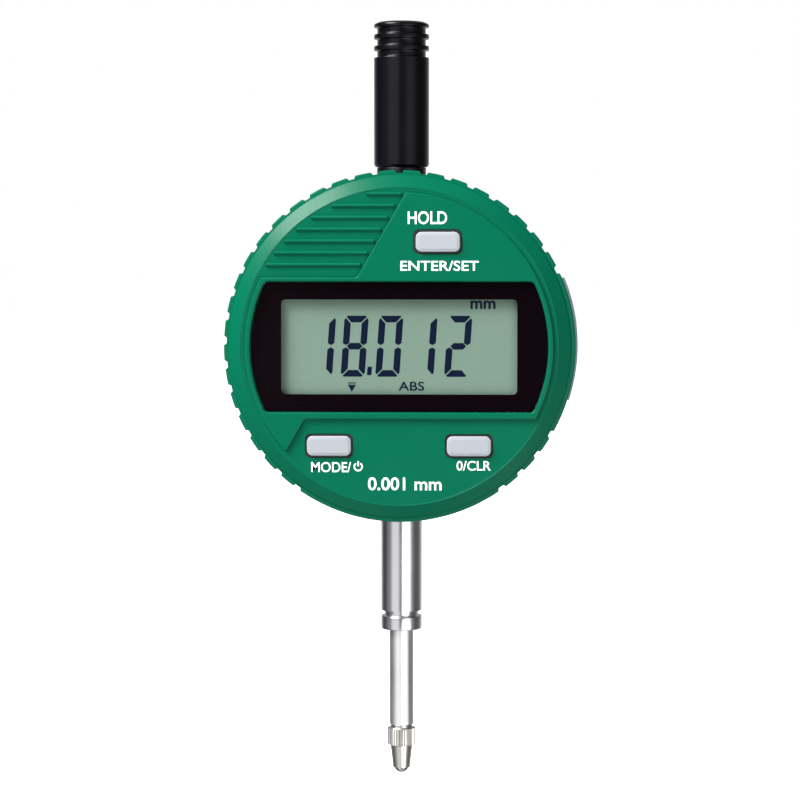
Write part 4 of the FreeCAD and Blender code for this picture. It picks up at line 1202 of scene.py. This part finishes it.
@dataclass
class StemAndSpindle:
    """The clamping stem, the neck bush, the spindle and the knurled contact point."""

    stem_radius: float = 4.0
    stem_top: float = -24.0
    groove_radius: float = 3.3
    groove_top: float = -51.9
    groove_low: float = -52.9
    stem_end: float = -55.6
    spindle_radius: float = 2.38
    spindle_low: float = -74.5
    spindle_top: float = 46.5
    knurl_radius: float = 2.75
    knurl_top: float = -75.0
    knurl_low: float = -78.5
    cone_low: float = -83.0
    ridges: int = 34

    def stem(self) -> None:
        """Turn the stem with its end groove and collar."""
        r = self.stem_radius
        profile = filleted([
            (3.1, self.stem_top, 0), (r, self.stem_top, 0.1), (r, self.groove_top, 0.12),
            (self.groove_radius, self.groove_top, 0.12), (self.groove_radius, self.groove_low, 0.12),
            (r, self.groove_low, 0.2), (r, self.stem_end, 0.35), (2.8, self.stem_end, 0.1),
            (2.8, -50.5, 0), (3.1, -50.5, 0)])
        finish_mesh(turned(profile, Axis.STEM), "stem_ground", GROUND_STEEL, Body.HOUSING,
                    ["stem"])

    def neck(self) -> None:
        """Turn the upper bush, whose neck shows under the cap."""
        profile = filleted([
            (2.43, 24.0, 0), (3.98, 24.0, 0.1), (3.98, 31.6, 0), (4.75, 31.6, 0), (4.75, 34.3, 0.2),
            (3.7, 34.3, 0.1), (3.7, 39.5, 0.3), (2.43, 39.5, 0.1)])
        # The bush's dark colour is painted shade under the cap, not the steel's own colour.
        finish_mesh(turned(profile, Axis.STEM), "neck_bush", SHADE_DARKENED_STEEL, Body.HOUSING,
                    ["upper_bush"])

    def spindle(self) -> None:
        """Turn the spindle."""
        r = self.spindle_radius
        profile = filleted([
            (0, self.spindle_low + 6, 0), (1.25, self.spindle_low + 6, 0), (1.25, self.spindle_low, 0.1),
            (r, self.spindle_low, 0.25), (r, self.spindle_top, 0.3), (0, self.spindle_top, 0)])
        finish_mesh(turned(profile, Axis.STEM), "spindle_turned", SATIN_STEEL, Body.SPINDLE,
                    ["spindle"])

    def knurl(self) -> bpy.types.Mesh:
        """Lay the knurl's upright ridges round the contact point with geometry nodes.

        Returns:
            The mesh in its place.
        """
        shape = NodeShape("knurl", KNURLED_STEEL)
        shape.size("Ridges", self.ridges, whole=True)
        shape.size("Radius", self.knurl_radius - 0.2)
        shape.size("Length", self.knurl_top - self.knurl_low - 0.3)
        index = add_node(shape.tree, "GeometryNodeInputIndex").outputs[0]
        step = shape.math("DIVIDE", math.tau, shape.read("Ridges"))
        angle = shape.math("MULTIPLY", index, step)
        across = shape.math("MULTIPLY", shape.math("COSINE", angle), shape.read("Radius"))
        deep = shape.math("MULTIPLY", shape.math("SINE", angle), shape.read("Radius"))
        line = add_node(shape.tree, "GeometryNodeMeshLine", {"Count": shape.read("Ridges")})
        ring = add_node(shape.tree, "GeometryNodeSetPosition",
                        {"Geometry": line.outputs["Mesh"], "Position": shape.vector(across, deep, 0.0)})
        ridge = add_node(shape.tree, "GeometryNodeMeshCone")
        ridge.inputs["Vertices"].default_value = 4
        ridge.inputs["Side Segments"].default_value = 1
        ridge.inputs["Radius Top"].default_value = 0.2
        ridge.inputs["Radius Bottom"].default_value = 0.2
        shape.tree.links.new(shape.read("Length"), ridge.inputs["Depth"])
        low = shape.math("MULTIPLY", shape.read("Length"), -0.5)
        centred = add_node(shape.tree, "GeometryNodeTransform",
                           {"Geometry": ridge.outputs["Mesh"], "Translation": shape.vector(0.0, 0.0, low)})
        laid = add_node(shape.tree, "GeometryNodeInstanceOnPoints",
                        {"Points": ring.outputs["Geometry"], "Instance": centred.outputs["Geometry"],
                         "Rotation": shape.vector(0.0, 0.0, angle)})
        mesh = shape.bake(laid.outputs["Instances"])
        middle = (self.knurl_top + self.knurl_low) / 2
        mesh.transform(Matrix.Translation(at(0, middle, 0)) @ Matrix.Scale(MM, 4))
        return mesh

    def contact(self) -> None:
        """Build the contact point: neck, knurl and cone."""
        core = self.knurl_radius - 0.14
        profile = filleted([
            (0, self.spindle_low + 5.5, 0), (1.23, self.spindle_low + 5.5, 0), (1.23, self.spindle_low, 0),
            (2.1, self.spindle_low, 0.1), (2.1, self.knurl_top, 0.05), (core, self.knurl_top, 0.25),
            (core, self.knurl_low, 0.25), (2.16, self.knurl_low, 0.08), (1.665, self.cone_low, 0.12),
            (1.47, self.cone_low, 0), (1.2, self.cone_low + 0.5, 0), (0, self.cone_low + 0.6, 0)])
        mesh = joined([turned(profile, Axis.STEM), self.knurl()])
        finish_mesh(mesh, "contact_point_knurled", KNURLED_STEEL, Body.SPINDLE,
                    ["contact_point"])

    def ball(self) -> None:
        """Turn the contact ball finely."""
        low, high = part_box("contact_ball")
        radius = (high.z - low.z) / 2 / MM
        centre = (low + high) / 2
        profile = [(x, y) for x, y in arc(radius, -90, 90, 32)]
        profile[0] = (0.0, -radius)
        profile[-1] = (0.0, radius)
        mesh = turned(profile, Axis.STEM, [360 * step / 64 for step in range(64)], closed=False,
                      centre=centre)
        finish_mesh(mesh, "contact_ball_lapped", LAPPED_BALL, Body.SPINDLE, ["contact_ball"])

    def build(self) -> None:
        """Build stem, neck, spindle and contact point."""
        self.stem()
        self.neck()
        self.spindle()
        self.contact()
        self.ball()


# ---------------------------------------------------------------- rear case and inner parts


@dataclass
class InnerParts:
    """Everything that keeps its CAD shape: it gets its finish here."""

    special: dict = field(default_factory=lambda: {
        "back_cover_screws": BLACK_SCREW, "dial_plate_screws": BLACK_SCREW, "battery": ZINC_STEEL})

    def build(self) -> None:
        """Dress every carried-over CAD node by its material slot."""
        slots = {part["node"]: part["material_slot"] for part in frame["record"]["subparts"]}
        for name, node in frame["nodes"].items():
            finish = self.special.get(name, CAD_FINISHES[slots[name]])
            node.data.materials.clear()
            node.data.materials.append(finish.material())
        LOG.info("dressed %d CAD nodes", len(frame["nodes"]))


# ---------------------------------------------------------------- studio


@dataclass
class Studio:
    """Pale floor, soft key, rim and fill lights, a surround of soft strips and the camera."""

    floor_reach: float = 3.0
    floor_gap: float = 0.0005
    distance: float = 0.4867
    right: float = 0.0188
    above: float = 0.0182
    aim_across: float = -0.0003
    aim_up: float = -0.0108
    span: float = 0.1555
    key_place: tuple = (-0.35, -0.6, 0.5)
    key_size: tuple = (0.4, 0.4)
    key_power: float = 3.6
    rim_place: tuple = (-0.38, -0.24, 0.5)
    rim_size: tuple = (0.3, 0.3)
    rim_power: float = 10.5
    fill_place: tuple = (0.27, -0.52, -0.3)
    fill_size: tuple = (0.5, 0.5)
    fill_power: float = 2.6
    surround_power: float = 0.72
    strips: tuple = ((-180, 1.0), (-140, 1.0), (-130, 0.4), (-122, 0.1), (-95, 0.1), (-85, 0.3),
                     (-60, 0.5), (-50, 1.5), (-13, 1.5), (-9, 0.6), (-5, 0.06), (2, 0.05),
                     (7, 0.3), (20, 0.35), (28, 1.3), (52, 1.3), (60, 0.7), (70, 0.25), (85, 0.16),
                     (115, 0.2), (130, 0.5), (140, 1.0), (180, 1.0))
    heights: tuple = ((-1.0, 1.0), (-0.5, 1.1), (-0.02, 1.0), (0.08, 0.6), (0.5, 0.6), (0.62, 0.35),
                      (1.0, 0.6))

    def floor(self) -> None:
        """Lay a wide pale floor just below the contact ball."""
        low = CAD_BOX[0][2] - self.floor_gap
        mesh = bpy.data.meshes.new("floor")
        size = self.floor_reach
        corners = [(-size, -size, low), (size, -size, low), (size, size, low), (-size, size, low)]
        mesh.from_pydata(corners, [], [(0, 1, 2, 3)])
        mesh.materials.append(PAPER.material())
        plane = bpy.data.objects.new("floor", mesh)
        bpy.context.scene.collection.objects.link(plane)
        plane.visible_glossy = False
        plane.visible_diffuse = False
        plane.visible_shadow = False

    def lamp(self, name: str, place: tuple, size: tuple, power: float) -> None:
        """Hang one rectangular soft light and point it at the dial.

        Args:
            name: the light's name.
            place: its place from the dial's centre, in metres.
            size: its width and height, in metres.
            power: its power in watts.
        """
        light = bpy.data.lights.new(name, "AREA")
        light.shape = "RECTANGLE"
        light.size, light.size_y = size
        light.energy = power
        lamp = bpy.data.objects.new(name, light)
        lamp.location = DIAL_CENTRE + Vector(place)
        lamp.rotation_euler = (-Vector(place)).to_track_quat("-Z", "Y").to_euler()
        bpy.context.scene.collection.objects.link(lamp)

    def camera(self) -> None:
        """Stand the camera slightly right of and above the dial's centre."""
        data = bpy.data.cameras.new("camera")
        data.sensor_width = 36.0
        data.lens = data.sensor_width * self.distance / self.span
        view = bpy.data.objects.new("camera", data)
        view.location = DIAL_CENTRE + Vector((self.right, -self.distance, self.above))
        aim = DIAL_CENTRE + Vector((self.aim_across, 0, self.aim_up))
        view.rotation_euler = (aim - view.location).to_track_quat("-Z", "Y").to_euler()
        bpy.context.scene.collection.objects.link(view)
        bpy.context.scene.camera = view

    def ramp(self, tree: bpy.types.NodeTree, source: bpy.types.NodeSocket, low: float, high: float,
             stops: tuple) -> bpy.types.NodeSocket:
        """Turn a number into a brightness by a list of stops.

        Args:
            tree: the world's tree.
            source: the number.
            low: the number at the first stop's end of the scale.
            high: the number at the last stop's end.
            stops: pairs of number, in the units of low and high, and brightness.

        Returns:
            The brightness.
        """
        share = add_node(tree, "ShaderNodeMapRange", {"Value": source}, From_Min=low, From_Max=high)
        ramp = add_node(tree, "ShaderNodeValToRGB", {"Fac": share.outputs["Result"]})
        elements = ramp.color_ramp.elements
        while len(elements) < len(stops):
            elements.new(0.5)
        for element, (number, bright) in zip(elements, stops):
            element.position = (number - low) / (high - low)
            element.color = (bright, bright, bright, 1)
        return ramp.outputs["Color"]

    def surround(self) -> None:
        """Ring the object with soft upright strips of light; the camera itself sees plain white."""
        world = bpy.data.worlds.new("surround")
        world.use_nodes = True
        tree = world.node_tree
        tree.nodes.clear()
        way = add_node(tree, "ShaderNodeTexCoord").outputs["Generated"]
        parts = add_node(tree, "ShaderNodeSeparateXYZ", {"Vector": way})
        forward = add_node(tree, "ShaderNodeMath", {0: parts.outputs["Y"]}, operation="MULTIPLY")
        forward.inputs[1].default_value = -1.0
        azimuth = add_node(tree, "ShaderNodeMath", {0: parts.outputs["X"], 1: forward.outputs[0]},
                           operation="ARCTAN2")
        degrees = add_node(tree, "ShaderNodeMath", {0: azimuth.outputs[0]}, operation="DEGREES")
        around = self.ramp(tree, degrees.outputs[0], -180, 180, self.strips)
        upward = self.ramp(tree, parts.outputs["Z"], -1, 1, self.heights)
        both = add_node(tree, "ShaderNodeVectorMath", {0: around, 1: upward}, operation="MULTIPLY")
        strips = add_node(tree, "ShaderNodeBackground", {"Color": both.outputs[0]},
                          Strength=self.surround_power)
        white = add_node(tree, "ShaderNodeBackground", Color=(1, 1, 1, 1))
        path = add_node(tree, "ShaderNodeLightPath")
        seen = add_node(tree, "ShaderNodeMixShader", {0: path.outputs["Is Camera Ray"],
                                                      1: strips.outputs[0], 2: white.outputs[0]})
        output = add_node(tree, "ShaderNodeOutputWorld")
        tree.links.new(seen.outputs["Shader"], output.inputs["Surface"])
        bpy.context.scene.world = world
        bpy.context.scene.view_settings.view_transform = "Standard"

    def build(self) -> None:
        """Build the studio."""
        self.floor()
        self.lamp("key_light", self.key_place, self.key_size, self.key_power)
        self.lamp("rim_light", self.rim_place, self.rim_size, self.rim_power)
        self.lamp("fill_light", self.fill_place, self.fill_size, self.fill_power)
        self.camera()
        self.surround()


def main() -> None:
    """Build the indicator piece by piece."""
    logging.basicConfig(level=logging.INFO, format="%(name)s: %(message)s")
    for group in (InnerParts(), DialFront(), Display(), Keys(), DustCap(), StemAndSpindle(), Studio()):
        LOG.info("building %s", type(group).__name__)
        group.build()


if __name__ == "__main__":
    main()
